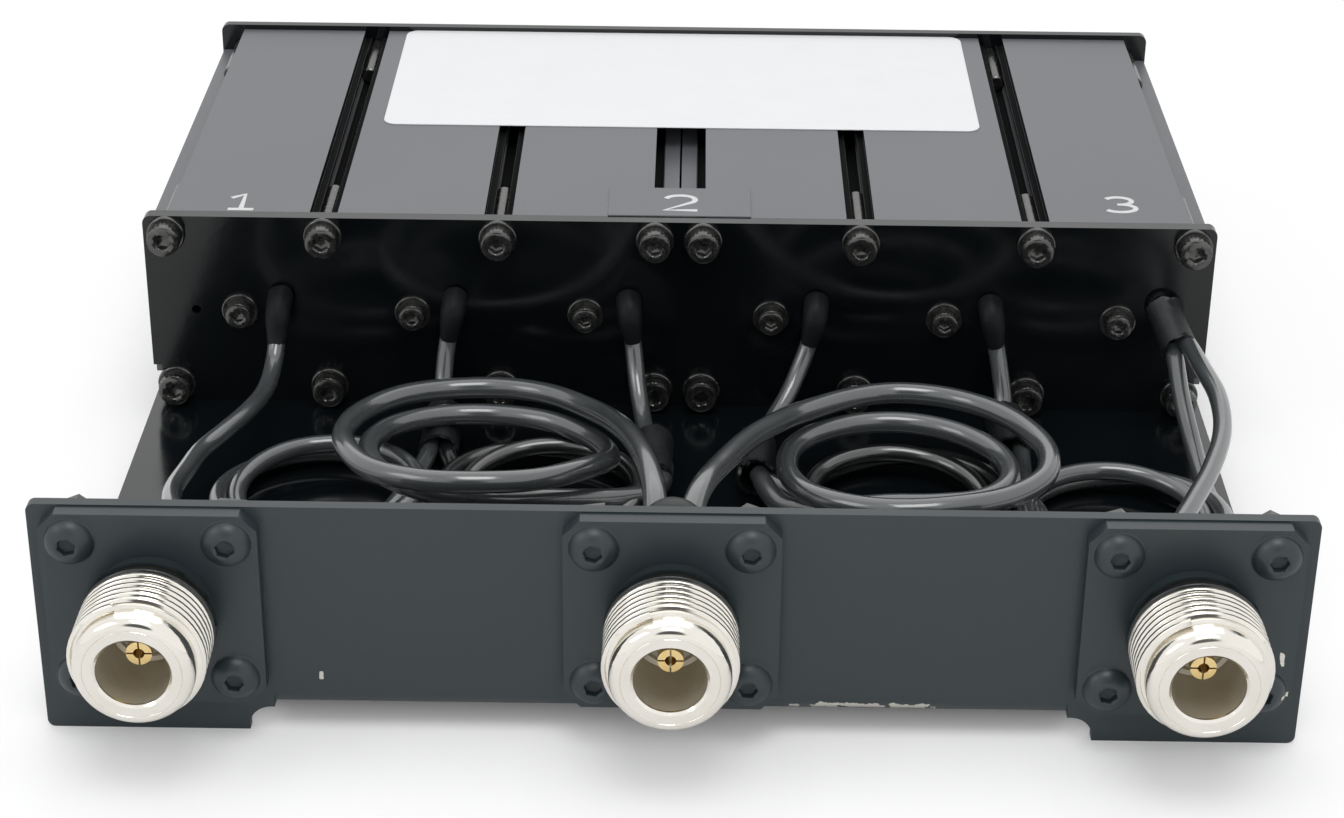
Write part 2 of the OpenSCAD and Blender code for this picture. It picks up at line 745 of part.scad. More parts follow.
// Socket head screws in the ports, seated on their washers at both plates
module plate_screws() {
    color("#2a2d30") placed() at_ports() {
        translate([0, tray_depth - plate_washer_thickness, 0])
            socket_screw(plate_screw, plate_washer_thickness + front_plate + plate_screw_reach,
                         plate_screw_head, plate_screw_head_height, plate_screw_socket);
        translate([0, back + plate_washer_thickness, 0]) rotate([0, 0, 180])
            socket_screw(plate_screw, plate_washer_thickness + rear_plate + plate_screw_reach,
                         plate_screw_head, plate_screw_head_height, plate_screw_socket);
    }
}

module plate_washers() {
    color("#33373a") placed() at_ports() {
        translate([0, tray_depth, 0])
            washer(plate_washer, plate_screw + 2 * thread_clearance, plate_washer_thickness);
        translate([0, back + plate_washer_thickness, 0])
            washer(plate_washer, plate_screw + 2 * thread_clearance, plate_washer_thickness);
    }
}

module resonator_screws() {
    color("#2a2d30") placed() at_cavities()
        translate([0, tray_depth - post_washer_thickness, 0])
            socket_screw(post_screw, post_washer_thickness + front_plate + post_length - 1.5,
                         post_screw_head, post_screw_head_height, post_screw_socket);
}

module resonator_washers() {
    color("#33373a") placed() at_cavities() translate([0, tray_depth, 0])
        washer(post_washer, post_screw + 2 * thread_clearance, post_washer_thickness);
}

module flange_screws() {
    length = flange_thickness + panel_back + flange_nut_thickness + 0.6;
    color("#2a2d30") placed()
        for (x = jack_x) at_flange_holes(x) translate([0, -flange_thickness, 0])
            socket_screw(flange_screw, length, flange_screw_head, flange_screw_head_height,
                         flange_screw_socket);
}

module flange_nuts() {
    color("#33373a") placed()
        for (x = jack_x) at_flange_holes(x) translate([0, panel_back, 0])
            nut(flange_nut, flange_screw, flange_nut_thickness);
}

// Countersunk screws from under the floor into the extrusions
module base_screws() {
    color("#2a2d30") placed() at_base_screws() translate([0, 0, floor_clearance])
        difference() {
            union() {
                cylinder(r1 = base_screw_head / 2, r2 = base_screw / 2, h = base_screw_head_height);
                cylinder(r = base_screw / 2, h = sheet + cavity_wall);
            }
            translate([0, 0, -hair]) cylinder(r = 0.8, h = 0.8, $fn = 6);
        }
}

module lock_nuts() {
    color("#b9924a") placed() at_cavities() translate([0, back, 0])
        difference() {
            hex_rod(lock_nut, lock_nut_thickness);
            rod(screw_radius + running_clearance, lock_nut_thickness + 2 * hair, -hair);
        }
}

// A tuning screw: thread, journal for its slug, and a driver slot at the rear
module tuning_screw(i) {
    color("#c09a50") placed() translate([cavity_x[i - 1], 0, cavity_z])
        difference() {
            union() {
                rod(screw_radius, tail - thread_depth - slug_rear - end_clearance,
                    slug_rear + end_clearance);
                taper(screw_radius, screw_radius - thread_depth, thread_depth, tail - thread_depth);
                rod(journal / 2, journal_length + hair, slug_rear + end_clearance - journal_length);
            }
            translate([-tuning_screw, tail - driver_slot_depth, -driver_slot / 2])
                cube([2 * tuning_screw, driver_slot_depth + hair, driver_slot]);
        }
}

// A tuning slug, bored for the screw's journal
module tuning_slug(i) {
    color("#d6d3ca") placed() translate([cavity_x[i - 1], 0, cavity_z])
        difference() {
            rod(slug_diameter / 2, slug_length, slug_front);
            rod(journal / 2 + running_clearance, journal_length + hair, slug_rear - journal_length);
        }
}

// The posts that carry the resonator coils on the front plate
module resonator_posts() {
    color("#c09a50") placed() at_cavities() difference() {
        rod(post_diameter / 2, post_length, block_front);
        rod(post_screw / 2 + thread_clearance, post_length - 1.2, block_front - hair);
    }
}

// The route of a resonator's wire: out of its post, then in a growing spiral to its turns
function coil_route() = concat(
    [[0, post_end, 0]],
    [for (k = [0:coil_steps * (coil_turns + 1)])
        let (angle = 360 * k / coil_steps, radius = coil_radius * min(1, (k + 0.5) / coil_steps))
            [radius * cos(angle), post_end + coil_wire + coil_pitch * k / coil_steps, radius * sin(angle)]]
);

module resonator_coils(first, last) {
    color("#b87a4a") placed()
        for (i = [first:last]) translate([cavity_x[i], 0, cavity_z]) tube(coil_route(), coil_wire, 6);
}

module jumper_coil(i) {
    color("#141618") placed()
        translate([jumper_centres[i][0], jumper_centres[i][1], jumper_ring_z])
            coil_ring(jumper_coil_radius, jumper_ring);
}

module antenna_coil(i) {
    color("#141618") placed()
        translate([antenna_centres[i][0], antenna_centres[i][1], antenna_ring_z])
            rotate([-antenna_ring_tilt, 0, 0])
                translate([0, 0, -antenna_ring[1] / 2])
                    coil_ring(antenna_coil_radius, antenna_ring);
}

module cable(routes, diameter) {
    color("#141618") placed() for (route = routes) tube(route, diameter);
}

module antenna_cables(i) {
    routes = [[route_antenna_low_start, route_antenna_low_end],
              [route_antenna_high_start, route_antenna_high_end]];
    cable(routes[i], antenna_cable);
}

base_tray();
low_side_extrusion();
high_side_extrusion();
front_plate();
rear_plate();
blank_label();
marker_strip();
jack_body(1);  // jack_body_1
jack_body(2);  // jack_body_2
jack_body(3);  // jack_body_3
jack_insulator(1);  // jack_insulator_1
jack_insulator(2);  // jack_insulator_2
jack_insulator(3);  // jack_insulator_3
jack_contact(1);  // jack_contact_1
jack_contact(2);  // jack_contact_2
jack_contact(3);  // jack_contact_3
jack_boots();
splice_sleeves();
plate_screws();
plate_washers();
resonator_screws();
resonator_washers();
flange_screws();
flange_nuts();
base_screws();
lock_nuts();
tuning_screw(1);  // tuning_screw_1
tuning_screw(2);  // tuning_screw_2
tuning_screw(3);  // tuning_screw_3
tuning_screw(4);  // tuning_screw_4
tuning_screw(5);  // tuning_screw_5
tuning_screw(6);  // tuning_screw_6
tuning_slug(1);  // tuning_slug_1
tuning_slug(2);  // tuning_slug_2
tuning_slug(3);  // tuning_slug_3
tuning_slug(4);  // tuning_slug_4
tuning_slug(5);  // tuning_slug_5
tuning_slug(6);  // tuning_slug_6
resonator_posts();
resonator_coils(0, 2);  // low_side_coils
resonator_coils(3, 5);  // high_side_coils
cable([route_low_port], lead);  // low_port_lead
cable([route_high_port], lead);  // high_port_lead
cable([route_stub_2], lead);  // cavity_stub_2
cable([route_stub_3], lead);  // cavity_stub_3
cable([route_stub_4], lead);  // cavity_stub_4
cable([route_stub_5], lead);  // cavity_stub_5
cable([route_jumper_12_start, route_jumper_12_end], lead);  // jumper_12_ends
jumper_coil(0);  // jumper_12_coil
cable([route_jumper_23_start, route_jumper_23_end], lead);  // jumper_23_ends
jumper_coil(1);  // jumper_23_coil
cable([route_jumper_45_start, route_jumper_45_end], lead);  // jumper_45_ends
jumper_coil(2);  // jumper_45_coil
cable([route_jumper_56_start, route_jumper_56_end], lead);  // jumper_56_ends
jumper_coil(3);  // jumper_56_coil
antenna_cables(0);  // antenna_low_ends
antenna_coil(0);  // antenna_low_coil
antenna_cables(1);  // antenna_high_ends
antenna_coil(1);  // antenna_high_coil
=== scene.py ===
import math

import bmesh
import bpy
from mathutils import Matrix, Vector, noise


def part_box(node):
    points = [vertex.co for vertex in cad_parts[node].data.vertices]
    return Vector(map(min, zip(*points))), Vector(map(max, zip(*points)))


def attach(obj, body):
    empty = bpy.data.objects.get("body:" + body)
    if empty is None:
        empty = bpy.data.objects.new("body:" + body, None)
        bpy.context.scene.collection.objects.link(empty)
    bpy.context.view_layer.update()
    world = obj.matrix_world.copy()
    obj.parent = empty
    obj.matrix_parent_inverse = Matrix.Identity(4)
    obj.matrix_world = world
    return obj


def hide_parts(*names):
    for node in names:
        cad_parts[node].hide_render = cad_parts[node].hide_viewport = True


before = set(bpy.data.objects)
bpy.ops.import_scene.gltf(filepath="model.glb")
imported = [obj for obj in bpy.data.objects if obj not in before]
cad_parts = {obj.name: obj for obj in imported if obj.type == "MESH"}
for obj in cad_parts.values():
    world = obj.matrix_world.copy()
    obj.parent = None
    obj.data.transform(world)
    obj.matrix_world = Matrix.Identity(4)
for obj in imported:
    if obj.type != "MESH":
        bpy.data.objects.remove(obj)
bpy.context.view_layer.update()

# The camera stands in front of the jacks and looks down into the tray, as in the photograph.
# Its place is counted from the face of the front panel, as every depth in this file is.
def new_object(name, data):
    """A new object in the scene, with the given data."""
    made = bpy.data.objects.new(name, data)
    bpy.context.scene.collection.objects.link(made)
    return made


panel_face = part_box("base_tray")[0].y
camera_place = Vector((0.0018, panel_face - 0.2881, 0.1941))
camera_down = math.radians(27.49)
camera_left = math.radians(0.40)
camera_roll = math.radians(0.58)
camera_data = bpy.data.cameras.new("camera")
camera_data.lens = 76.78
camera_data.sensor_width = 36
camera_data.clip_start = 0.01
camera = new_object("camera", camera_data)
camera.matrix_world = (Matrix.Translation(camera_place)
                       @ Matrix.Rotation(camera_left, 4, "Z")
                       @ Matrix.Rotation(math.pi / 2 - camera_down, 4, "X")
                       @ Matrix.Rotation(camera_roll, 4, "Z"))
bpy.context.scene.camera = camera
bpy.context.scene.view_settings.view_transform = "Standard"


# The table is a pale sheet under an even white sky, with four soft boxes round the object.
# The sky shows white to the camera and to gloss, and lights the object at a plain level.
def linear(hex_colour):
    """The linear RGBA of an sRGB hex colour."""
    parts = [int(hex_colour[i:i + 2], 16) / 255 for i in (1, 3, 5)]
    return [c / 12.92 if c <= 0.04045 else ((c + 0.055) / 1.055) ** 2.4 for c in parts] + [1]


def add(tree, kind, inputs=None, **settings):
    """A new node with its settings, and with each named input set or linked."""
    node = tree.nodes.new(kind)
    for name, value in settings.items():
        setattr(node, name, value)
    for name, value in (inputs or {}).items():
        if isinstance(value, bpy.types.NodeSocket):
            tree.links.new(value, node.inputs[name])
        else:
            node.inputs[name].default_value = value
    return node


def empty_finish(name):
    """A new material with an empty node tree, and that tree."""
    material = bpy.data.materials.new(name)
    material.use_nodes = True
    material.node_tree.nodes.clear()
    return material, material.node_tree


def pale_sheet():
    material, tree = empty_finish("pale_paper_sheet")
    shader = add(tree, "ShaderNodeBsdfPrincipled", {"Base Color": linear("#f7f7f8"), "Roughness": 0.7})
    # the camera sees the open sheet paler than it is, and as it is close under the object
    white_share = 0.6
    close_by = 0.018
    rays = add(tree, "ShaderNodeLightPath")
    paler = add(tree, "ShaderNodeMath", {0: rays.outputs["Is Camera Ray"], 1: white_share},
                operation="MULTIPLY")
    uncovered = add(tree, "ShaderNodeAmbientOcclusion", {"Distance": close_by}, samples=8)
    open_part = add(tree, "ShaderNodeMath", {0: paler.outputs[0], 1: uncovered.outputs["AO"]},
                    operation="MULTIPLY")
    white = add(tree, "ShaderNodeEmission", {"Color": linear("#ffffff"), "Strength": 1.13})
    seen = add(tree, "ShaderNodeMixShader", {0: open_part.outputs[0], 1: shader.outputs["BSDF"],
                                             2: white.outputs["Emission"]})
    add(tree, "ShaderNodeOutputMaterial", {"Surface": seen.outputs["Shader"]})
    return material


table_half = 1.2
table_corners = [(x * table_half, y * table_half, 0) for x, y in ((-1, -1), (1, -1), (1, 1), (-1, 1))]
table_mesh = bpy.data.meshes.new("table")
table_mesh.from_pydata(table_corners, [], [(0, 1, 2, 3)])
table_mesh.materials.append(pale_sheet())
table = new_object("table", table_mesh)

world = bpy.data.worlds.new("white_sky")
bpy.context.scene.world = world
world.use_nodes = True
sky_tree = world.node_tree
sky_tree.nodes.clear()
sky_light = 0.5
rays = add(sky_tree, "ShaderNodeLightPath")
seen = add(sky_tree, "ShaderNodeMath",
           {0: rays.outputs["Is Camera Ray"], 1: rays.outputs["Is Glossy Ray"]}, operation="MAXIMUM")
seen_through = add(sky_tree, "ShaderNodeMath", {0: seen.outputs[0], 1: rays.outputs["Is Transmission Ray"]},
                   operation="MAXIMUM")
strength = add(sky_tree, "ShaderNodeMapRange", {"Value": seen_through.outputs[0], "To Min": sky_light})
# gloss also shows the dark phone that took the picture, in the direction it was held
toward_phone = Vector((0, -0.84, 0.54))
phone_edge = math.cos(math.radians(18))
phone_middle = math.cos(math.radians(14))
phone_share = 0.9
sky_place = add(sky_tree, "ShaderNodeTexCoord")
facing = add(sky_tree, "ShaderNodeVectorMath", {0: sky_place.outputs["Generated"], 1: toward_phone},
             operation="DOT_PRODUCT")
phone = add(sky_tree, "ShaderNodeMapRange", {"Value": facing.outputs["Value"], "From Min": phone_edge,
                                             "From Max": phone_middle, "To Max": phone_share})
mirrored = add(sky_tree, "ShaderNodeMath",
               {0: phone.outputs["Result"], 1: rays.outputs["Is Glossy Ray"]}, operation="MULTIPLY")
sky_colour = add(sky_tree, "ShaderNodeMix", {"Factor": mirrored.outputs[0], "A": linear("#ffffff"),
                                             "B": linear("#15171a")}, data_type="RGBA")
sky = add(sky_tree, "ShaderNodeBackground",
          {"Color": sky_colour.outputs["Result"], "Strength": strength.outputs["Result"]})
add(sky_tree, "ShaderNodeOutputWorld", {"Surface": sky.outputs["Background"]})

# each soft box's place and width in metres, and its power in watts
for name, place, width, power in (("box_above", (0.04, -0.3, 0.85), 0.4, 2.1),
                                  ("box_behind", (-0.05, 0.6, 0.8), 1.1, 1.6),
                                  ("box_left", (-0.7, -0.35, 0.6), 0.4, 1.0),
                                  ("box_front", (0.1, -1.0, 0.35), 0.8, 2.5)):
    lamp_data = bpy.data.lights.new(name, "AREA")
    lamp_data.size = width
    lamp_data.energy = power
    lamp = new_object(name, lamp_data)
    # the front box only fills; it would hide the phone in the gloss
    lamp.visible_glossy = name != "box_front"
    lamp.matrix_world = (Matrix.Translation(place)
                         @ (-Vector(place)).to_track_quat("-Z", "Y").to_matrix().to_4x4())


# The tray is one folded steel sheet: the front panel with its two feet, and the floor behind it.
# Inside it is stoved in gloss black enamel; the panel's face was sprayed satin black over that.
# The spray is chipped to bright steel along the panel's lower edge and nicked at its right end.
def placed(points):
    """Points in the frame, in metres, from millimetres counted from the panel's face."""
    return [Vector((x / 1000, panel_face + y / 1000, z / 1000)) for x, y, z in points]


def plain_mesh(maker, name, finish=None):
    """A new object with what the maker shows now as its own mesh; the maker is then deleted."""
    bpy.context.view_layer.update()
    shown = maker.evaluated_get(bpy.context.evaluated_depsgraph_get())
    mesh = bpy.data.meshes.new_from_object(shown)
    bpy.data.objects.remove(maker)
    mesh.name = name
    if finish:
        mesh.materials.clear()
        mesh.materials.append(finish)
    return new_object(name, mesh)


def smooth_to(mesh, degrees):
    """Smooth shading with the edges kept sharp above an angle."""
    for face in mesh.polygons:
        face.use_smooth = True
    mesh.set_sharp_from_angle(angle=math.radians(degrees))


def merged_copy(node):
    """An editable copy of the node's solid, its loose triangles merged and joined into flat faces."""
    work = bmesh.new()
    work.from_mesh(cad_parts[node].data)
    bmesh.ops.remove_doubles(work, verts=work.verts, dist=2e-6)
    bmesh.ops.dissolve_limit(work, angle_limit=math.radians(0.6), verts=work.verts, edges=work.edges)
    return work


def shaded_mesh(work, name, degrees=32):
    """The editable copy as a mesh, shaded smooth with its edges kept sharp above an angle."""
    mesh = bpy.data.meshes.new(name)
    work.to_mesh(mesh)
    work.free()
    smooth_to(mesh, degrees)
    return mesh


def edges_broken(node, width, finish, name, cut=None):
    """The node's solid with its sharp edges broken by a small bevel, as a new piece in its place.

    With cut, a place and a direction, what lies beyond the place in that direction is cut off.
    """
    work = merged_copy(node)
    if cut:
        bmesh.ops.bisect_plane(work, geom=work.verts[:] + work.edges[:] + work.faces[:], plane_co=cut[0],
                               plane_no=cut[1], clear_outer=True)
        bmesh.ops.triangle_fill(work, edges=[e for e in work.edges if e.is_boundary], use_beauty=True)
        bmesh.ops.recalc_face_normals(work, faces=work.faces)
    maker = new_object(name, shaded_mesh(work, name, 35))
    bevel = maker.modifiers.new("broken_edge", "BEVEL")
    bevel.width = width
    bevel.segments = 2
    bevel.limit_method = "ANGLE"
    bevel.angle_limit = math.radians(40)
    bevel.use_clamp_overlap = True
    bevel.harden_normals = True
    piece = plain_mesh(maker, name, finish)
    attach(piece, "housing")
    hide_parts(node)
    return piece


def stoved_enamel(name, colour, gloss, chips=()):
    material, tree = empty_finish(name)
    place = add(tree, "ShaderNodeTexCoord").outputs["Object"]
    # orange peel, about 1.5 mm from crest to crest
    peel = add(tree, "ShaderNodeTexNoise", {"Vector": place, "Scale": 1 / 0.0015, "Detail": 1.5})
    bump = add(tree, "ShaderNodeBump", {"Height": peel.outputs["Fac"], "Distance": 0.00002, "Strength": 0.35})
    # dust and finger marks dull the gloss in patches of two centimetres
    marks = add(tree, "ShaderNodeTexNoise", {"Vector": place, "Scale": 1 / 0.02, "Detail": 5})
    dulled = add(tree, "ShaderNodeMapRange", {"Value": marks.outputs["Fac"], "From Min": 0.4,
                                              "From Max": 0.75, "To Min": gloss, "To Max": gloss + 0.1})
    shader = add(tree, "ShaderNodeBsdfPrincipled",
                 {"Base Color": linear(colour), "Roughness": dulled.outputs["Result"],
                  "Normal": bump.outputs["Normal"]})
    add(tree, "ShaderNodeOutputMaterial", {"Surface": shader.outputs["BSDF"]})
    if not chips:
        return material
    # each chip is a box in millimetres with a ragged edge, made by a noise of about a millimetre
    ragged = add(tree, "ShaderNodeTexNoise", {"Vector": place, "Scale": 1 / 0.0012, "Detail": 3})
    axes = add(tree, "ShaderNodeSeparateXYZ", {"Vector": place})
    raggedness = 2.6
    torn_edge = 2.15
    face_depth = 0.0008
    bare = None
    for x, z, half_width, half_height in chips:
        sides = []
        for axis, middle, half in (("X", x, half_width), ("Z", z, half_height)):
            offset = add(tree, "ShaderNodeMath", {0: axes.outputs[axis], 1: middle / 1000},
                         operation="SUBTRACT")
            size = add(tree, "ShaderNodeMath", {0: offset.outputs[0]}, operation="ABSOLUTE")
            share = add(tree, "ShaderNodeMath", {0: size.outputs[0], 1: half / 1000}, operation="DIVIDE")
            sides.append(share.outputs[0])
        reach = add(tree, "ShaderNodeMath", {0: sides[0], 1: sides[1]}, operation="MAXIMUM")
        torn = add(tree, "ShaderNodeMath", {0: ragged.outputs["Fac"], 1: raggedness, 2: reach.outputs[0]},
                   operation="MULTIPLY_ADD")
        inside = add(tree, "ShaderNodeMath", {0: torn.outputs[0], 1: torn_edge}, operation="LESS_THAN")
        if bare:
            inside = add(tree, "ShaderNodeMath", {0: inside.outputs[0], 1: bare.outputs[0]},
                         operation="MAXIMUM")
        bare = inside
    front = add(tree, "ShaderNodeMath", {0: axes.outputs["Y"], 1: panel_face + face_depth},
                operation="LESS_THAN")
    bare = add(tree, "ShaderNodeMath", {0: bare.outputs[0], 1: front.outputs[0]}, operation="MULTIPLY")
    tint = add(tree, "ShaderNodeMix",
               {"Factor": bare.outputs[0], "A": linear(colour), "B": linear("#d9d6cd")}, data_type="RGBA")
    tree.links.new(tint.outputs["Result"], shader.inputs["Base Color"])
    tree.links.new(bare.outputs[0], shader.inputs["Metallic"])
    return material


inside_enamel = stoved_enamel("stoved_gloss_black_enamel", "#0b1013", 0.1)
# each chip's middle across and up, its half width and its half height, in millimetres
satin_spray = stoved_enamel("sprayed_satin_black", "#2b3437", 0.36,
                            chips=((18.5, 4.3, 1.6, 0.5), (22.5, 4.3, 3.2, 0.45), (28.6, 4.2, 2.6, 0.55),
                                   (14.6, 4.2, 0.7, 0.4), (71.8, 13.2, 0.3, 1.0), (72.6, 8.3, 0.6, 0.4),
                                   (-41.7, 7.9, 0.25, 0.6)))
tray = edges_broken("base_tray", 0.00022, inside_enamel, "folded_tray")
tray.data.materials.append(satin_spray)
spray_reach = 0.0012
for face in tray.data.polygons:
    # the spray reached the panel's face and its upper edge
    if face.center.y < panel_face + spray_reach:
        face.material_index = 1


# The cavity block is two aluminium extrusions side by side, three square cavities in each.
# They are anodised black, with faint die lines along them; painted sheen: their colour is an even mid grey
# for the sky's sheen on the black.
# The etched skin scatters the light, so the top shows no mirror image of anything above it.
def satin_anodise():
    material, tree = empty_finish("black_anodise_painted_sheen")
    place = add(tree, "ShaderNodeTexCoord").outputs["Object"]
    # die lines 0.4 mm apart and long along the extrusion
    stretched = add(tree, "ShaderNodeMapping",
                    {"Vector": place, "Scale": (1 / 0.0004, 1 / 0.05, 1 / 0.0004)})
    lines = add(tree, "ShaderNodeTexNoise", {"Vector": stretched.outputs["Vector"], "Scale": 1, "Detail": 2})
    bump = add(tree, "ShaderNodeBump",
               {"Height": lines.outputs["Fac"], "Distance": 0.000006, "Strength": 0.3})
    # handling clouds the gloss in patches of three centimetres
    cloud = add(tree, "ShaderNodeTexNoise", {"Vector": place, "Scale": 1 / 0.03, "Detail": 4})
    rough = add(tree, "ShaderNodeMapRange", {"Value": cloud.outputs["Fac"], "To Min": 0.38, "To Max": 0.48})
    # the etched grain under the dye, about 0.1 mm, drawn at 0.3 mm to show
    grain = add(tree, "ShaderNodeTexNoise", {"Vector": place, "Scale": 1 / 0.0003, "Detail": 2})
    # painted sheen: both greys are far lighter than black anodise and stand in for the sky's sheen on it
    tint = add(tree, "ShaderNodeMix",
               {"Factor": grain.outputs["Fac"], "A": linear("#626468"), "B": linear("#707276")},
               data_type="RGBA")
    shader = add(tree, "ShaderNodeBsdfPrincipled",
                 {"Base Color": tint.outputs["Result"], "Roughness": rough.outputs["Result"],
                  "Normal": bump.outputs["Normal"]})
    add(tree, "ShaderNodeOutputMaterial", {"Surface": shader.outputs["BSDF"]})
    return material


def plain_finish(name, colour, roughness, metallic=0.0, patch=0.002, spread_by=0.08, second=None,
                 sheen=0.5):
    """A finish that varies a little in colour and gloss over patches of the given size in metres."""
    material, tree = empty_finish(name)
    place = add(tree, "ShaderNodeTexCoord").outputs["Object"]
    patches = add(tree, "ShaderNodeTexNoise", {"Vector": place, "Scale": 1 / patch, "Detail": 4})
    tint = add(tree, "ShaderNodeMix",
               {"Factor": patches.outputs["Fac"], "A": linear(colour), "B": linear(second or colour)},
               data_type="RGBA")
    rough = add(tree, "ShaderNodeMapRange",
                {"Value": patches.outputs["Fac"], "To Min": roughness, "To Max": roughness + spread_by})
    bump = add(tree, "ShaderNodeBump",
               {"Height": patches.outputs["Fac"], "Distance": patch / 200, "Strength": 0.3})
    shader = add(tree, "ShaderNodeBsdfPrincipled",
                 {"Base Color": tint.outputs["Result"], "Metallic": metallic,
                  "Roughness": rough.outputs["Result"], "Specular IOR Level": sheen,
                  "Normal": bump.outputs["Normal"]})
    add(tree, "ShaderNodeOutputMaterial", {"Surface": shader.outputs["BSDF"]})
    return material


block_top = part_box("low_side_extrusion")[1].z
# painted sheen: the block's finish is grey for the sky's sheen on black anodise
anodised = satin_anodise()
# painted shade: the grooves and the channel at the joint take a near-black with little reflection, for the
# shade that falls in them
recess_shade = plain_finish("painted_recess_shade", "#08090a", 0.8, sheen=0.1)
groove_top, groove_floor = 0.0002, 0.0034
channel_top, channel_floor = 0.0036, 0.006
side_skin = 0.0005
square_on = 0.98
for side in ("low_side", "high_side"):
    extrusion = edges_broken(side + "_extrusion", 0.00012, anodised, side + "_block")
    extrusion.data.materials.append(recess_shade)
    low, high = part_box(side + "_extrusion")
    for face in extrusion.data.polygons:
        # painted shade on the flat faces of the grooves and on the channel at the joint; the broken edges of
        # a groove and the ribs at the joint keep the block's finish
        flat = max(abs(part) for part in face.normal) > square_on
        down = block_top - face.center.z
        in_groove = flat and groove_top < down < groove_floor
        in_channel = channel_top < down < channel_floor
        if low.x + side_skin < face.center.x < high.x - side_skin and (in_groove or in_channel):
            face.material_index = 1


# The end plates close the cavities: sheet cut to the block's outline, with drilled holes.
# They have a smoother and glossier black lacquer than the block, so they mirror the harness.
plate_lacquer = stoved_enamel("gloss_black_lacquer", "#090d0f", 0.11)
for side in ("front", "rear"):
    edges_broken(side + "_plate", 0.00018, plate_lacquer, side + "_end_plate")


# Socket head screws hold the end plates: four ports and three posts on each extrusion.
# They are cold-headed steel, blacked in oil, so that edges and sockets catch small hard lights.
# Each was driven home by hand, and its socket has stopped at some angle.
def ring(radius, form, segments):
    """One ring of a turned piece, in millimetres: round, hexagonal across its flats, or knurled."""
    knurl_depth = 0.09
    points = []
    for k in range(segments):
        angle = 2 * math.pi * k / segments
        reach = radius
        if "hex" in form:
            reach = radius / math.cos(angle % (math.pi / 3) - math.pi / 6)
        elif "knurl" in form and k % 2:
            reach = radius - knurl_depth
        points.append((reach * math.cos(angle), reach * math.sin(angle)))
    return points


def turned(name, rows, segments=48, hollow=False, sharp=32):
    """A mesh turned about Z, in metres, from rows in millimetres: distance, radius, and form if not round."""
    work = bmesh.new()
    rings = []
    for along, radius, *form in rows:
        corners = ring(radius, form, segments) if radius else [(0, 0)]
        rings.append([work.verts.new((x / 1000, y / 1000, along / 1000)) for x, y in corners])
    if hollow:
        rings.append(rings[0])
    for first, second in zip(rings, rings[1:]):
        for k in range(segments):
            n = (k + 1) % segments
            if len(first) == 1:
                work.faces.new((first[0], second[n], second[k]))
            elif len(second) == 1:
                work.faces.new((first[k], first[n], second[0]))
            else:
                work.faces.new((first[k], first[n], second[n], second[k]))
    bmesh.ops.recalc_face_normals(work, faces=work.faces)
    return shaded_mesh(work, name, sharp)


def tree_with_inputs(name, inputs, output):
    """A new tree with named inputs and one shape as its output, and each input's identifier."""
    tree = bpy.data.node_groups.new(name, "GeometryNodeTree")
    identifiers = {}
    for label, kind in inputs.items():
        socket = tree.interface.new_socket(name=label, in_out="INPUT", socket_type="NodeSocket" + kind)
        identifiers[label] = socket.identifier
    tree.interface.new_socket(name=output, in_out="OUTPUT", socket_type="NodeSocketGeometry")
    return tree, identifiers


# the tree that sets copies of one fastener out on points
setting_out, sockets = tree_with_inputs(
    "setting_out", {"Points": "Geometry", "Fastener": "Object", "Facing": "Vector", "Chance turn": "Float",
                    "Seed": "Int", "Finish": "Material"}, "Fasteners")
given = add(setting_out, "NodeGroupInput")
copied = add(setting_out, "GeometryNodeObjectInfo", {"Object": given.outputs["Fastener"]})
stood = add(setting_out, "GeometryNodeInstanceOnPoints",
            {"Points": given.outputs["Points"], "Instance": copied.outputs["Geometry"],
             "Rotation": given.outputs["Facing"]})
back_turn = add(setting_out, "ShaderNodeMath", {0: given.outputs["Chance turn"], 1: -1},
                operation="MULTIPLY")
chance = add(setting_out, "FunctionNodeRandomValue", data_type="FLOAT")
setting_out.links.new(back_turn.outputs[0], chance.inputs[2])
setting_out.links.new(given.outputs["Chance turn"], chance.inputs[3])
setting_out.links.new(given.outputs["Seed"], chance.inputs["Seed"])
spin = add(setting_out, "ShaderNodeCombineXYZ", {"Z": chance.outputs[1]})
spun = add(setting_out, "GeometryNodeRotateInstances",
           {"Instances": stood.outputs["Instances"], "Rotation": spin.outputs["Vector"], "Local Space": True})
real = add(setting_out, "GeometryNodeRealizeInstances", {"Geometry": spun.outputs["Instances"]})
finished = add(setting_out, "GeometryNodeSetMaterial",
               {"Geometry": real.outputs["Geometry"], "Material": given.outputs["Finish"]})
add(setting_out, "NodeGroupOutput", {"Fasteners": finished.outputs["Geometry"]})
toward_jacks = (math.pi / 2, 0, 0)
toward_rear = (-math.pi / 2, 0, 0)


def set_out(name, places, mesh, facing, finish, chance_turn, seed, node, body="housing"):
    """One piece for the node, a copy of the mesh at each place, each turned a little by chance."""
    points = bpy.data.meshes.new(name)
    points.from_pydata(placed(places), [], [])
    maker = new_object(name, points)
    sample = new_object(name + "_sample", mesh)
    copies = maker.modifiers.new("copies", "NODES")
    copies.node_group = setting_out
    copies[sockets["Fastener"]] = sample
    copies[sockets["Facing"]] = facing
    copies[sockets["Chance turn"]] = chance_turn
    copies[sockets["Seed"]] = seed
    copies[sockets["Finish"]] = finish
    piece = plain_mesh(maker, name)
    bpy.data.objects.remove(sample)
    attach(piece, body)
    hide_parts(node)
    return piece


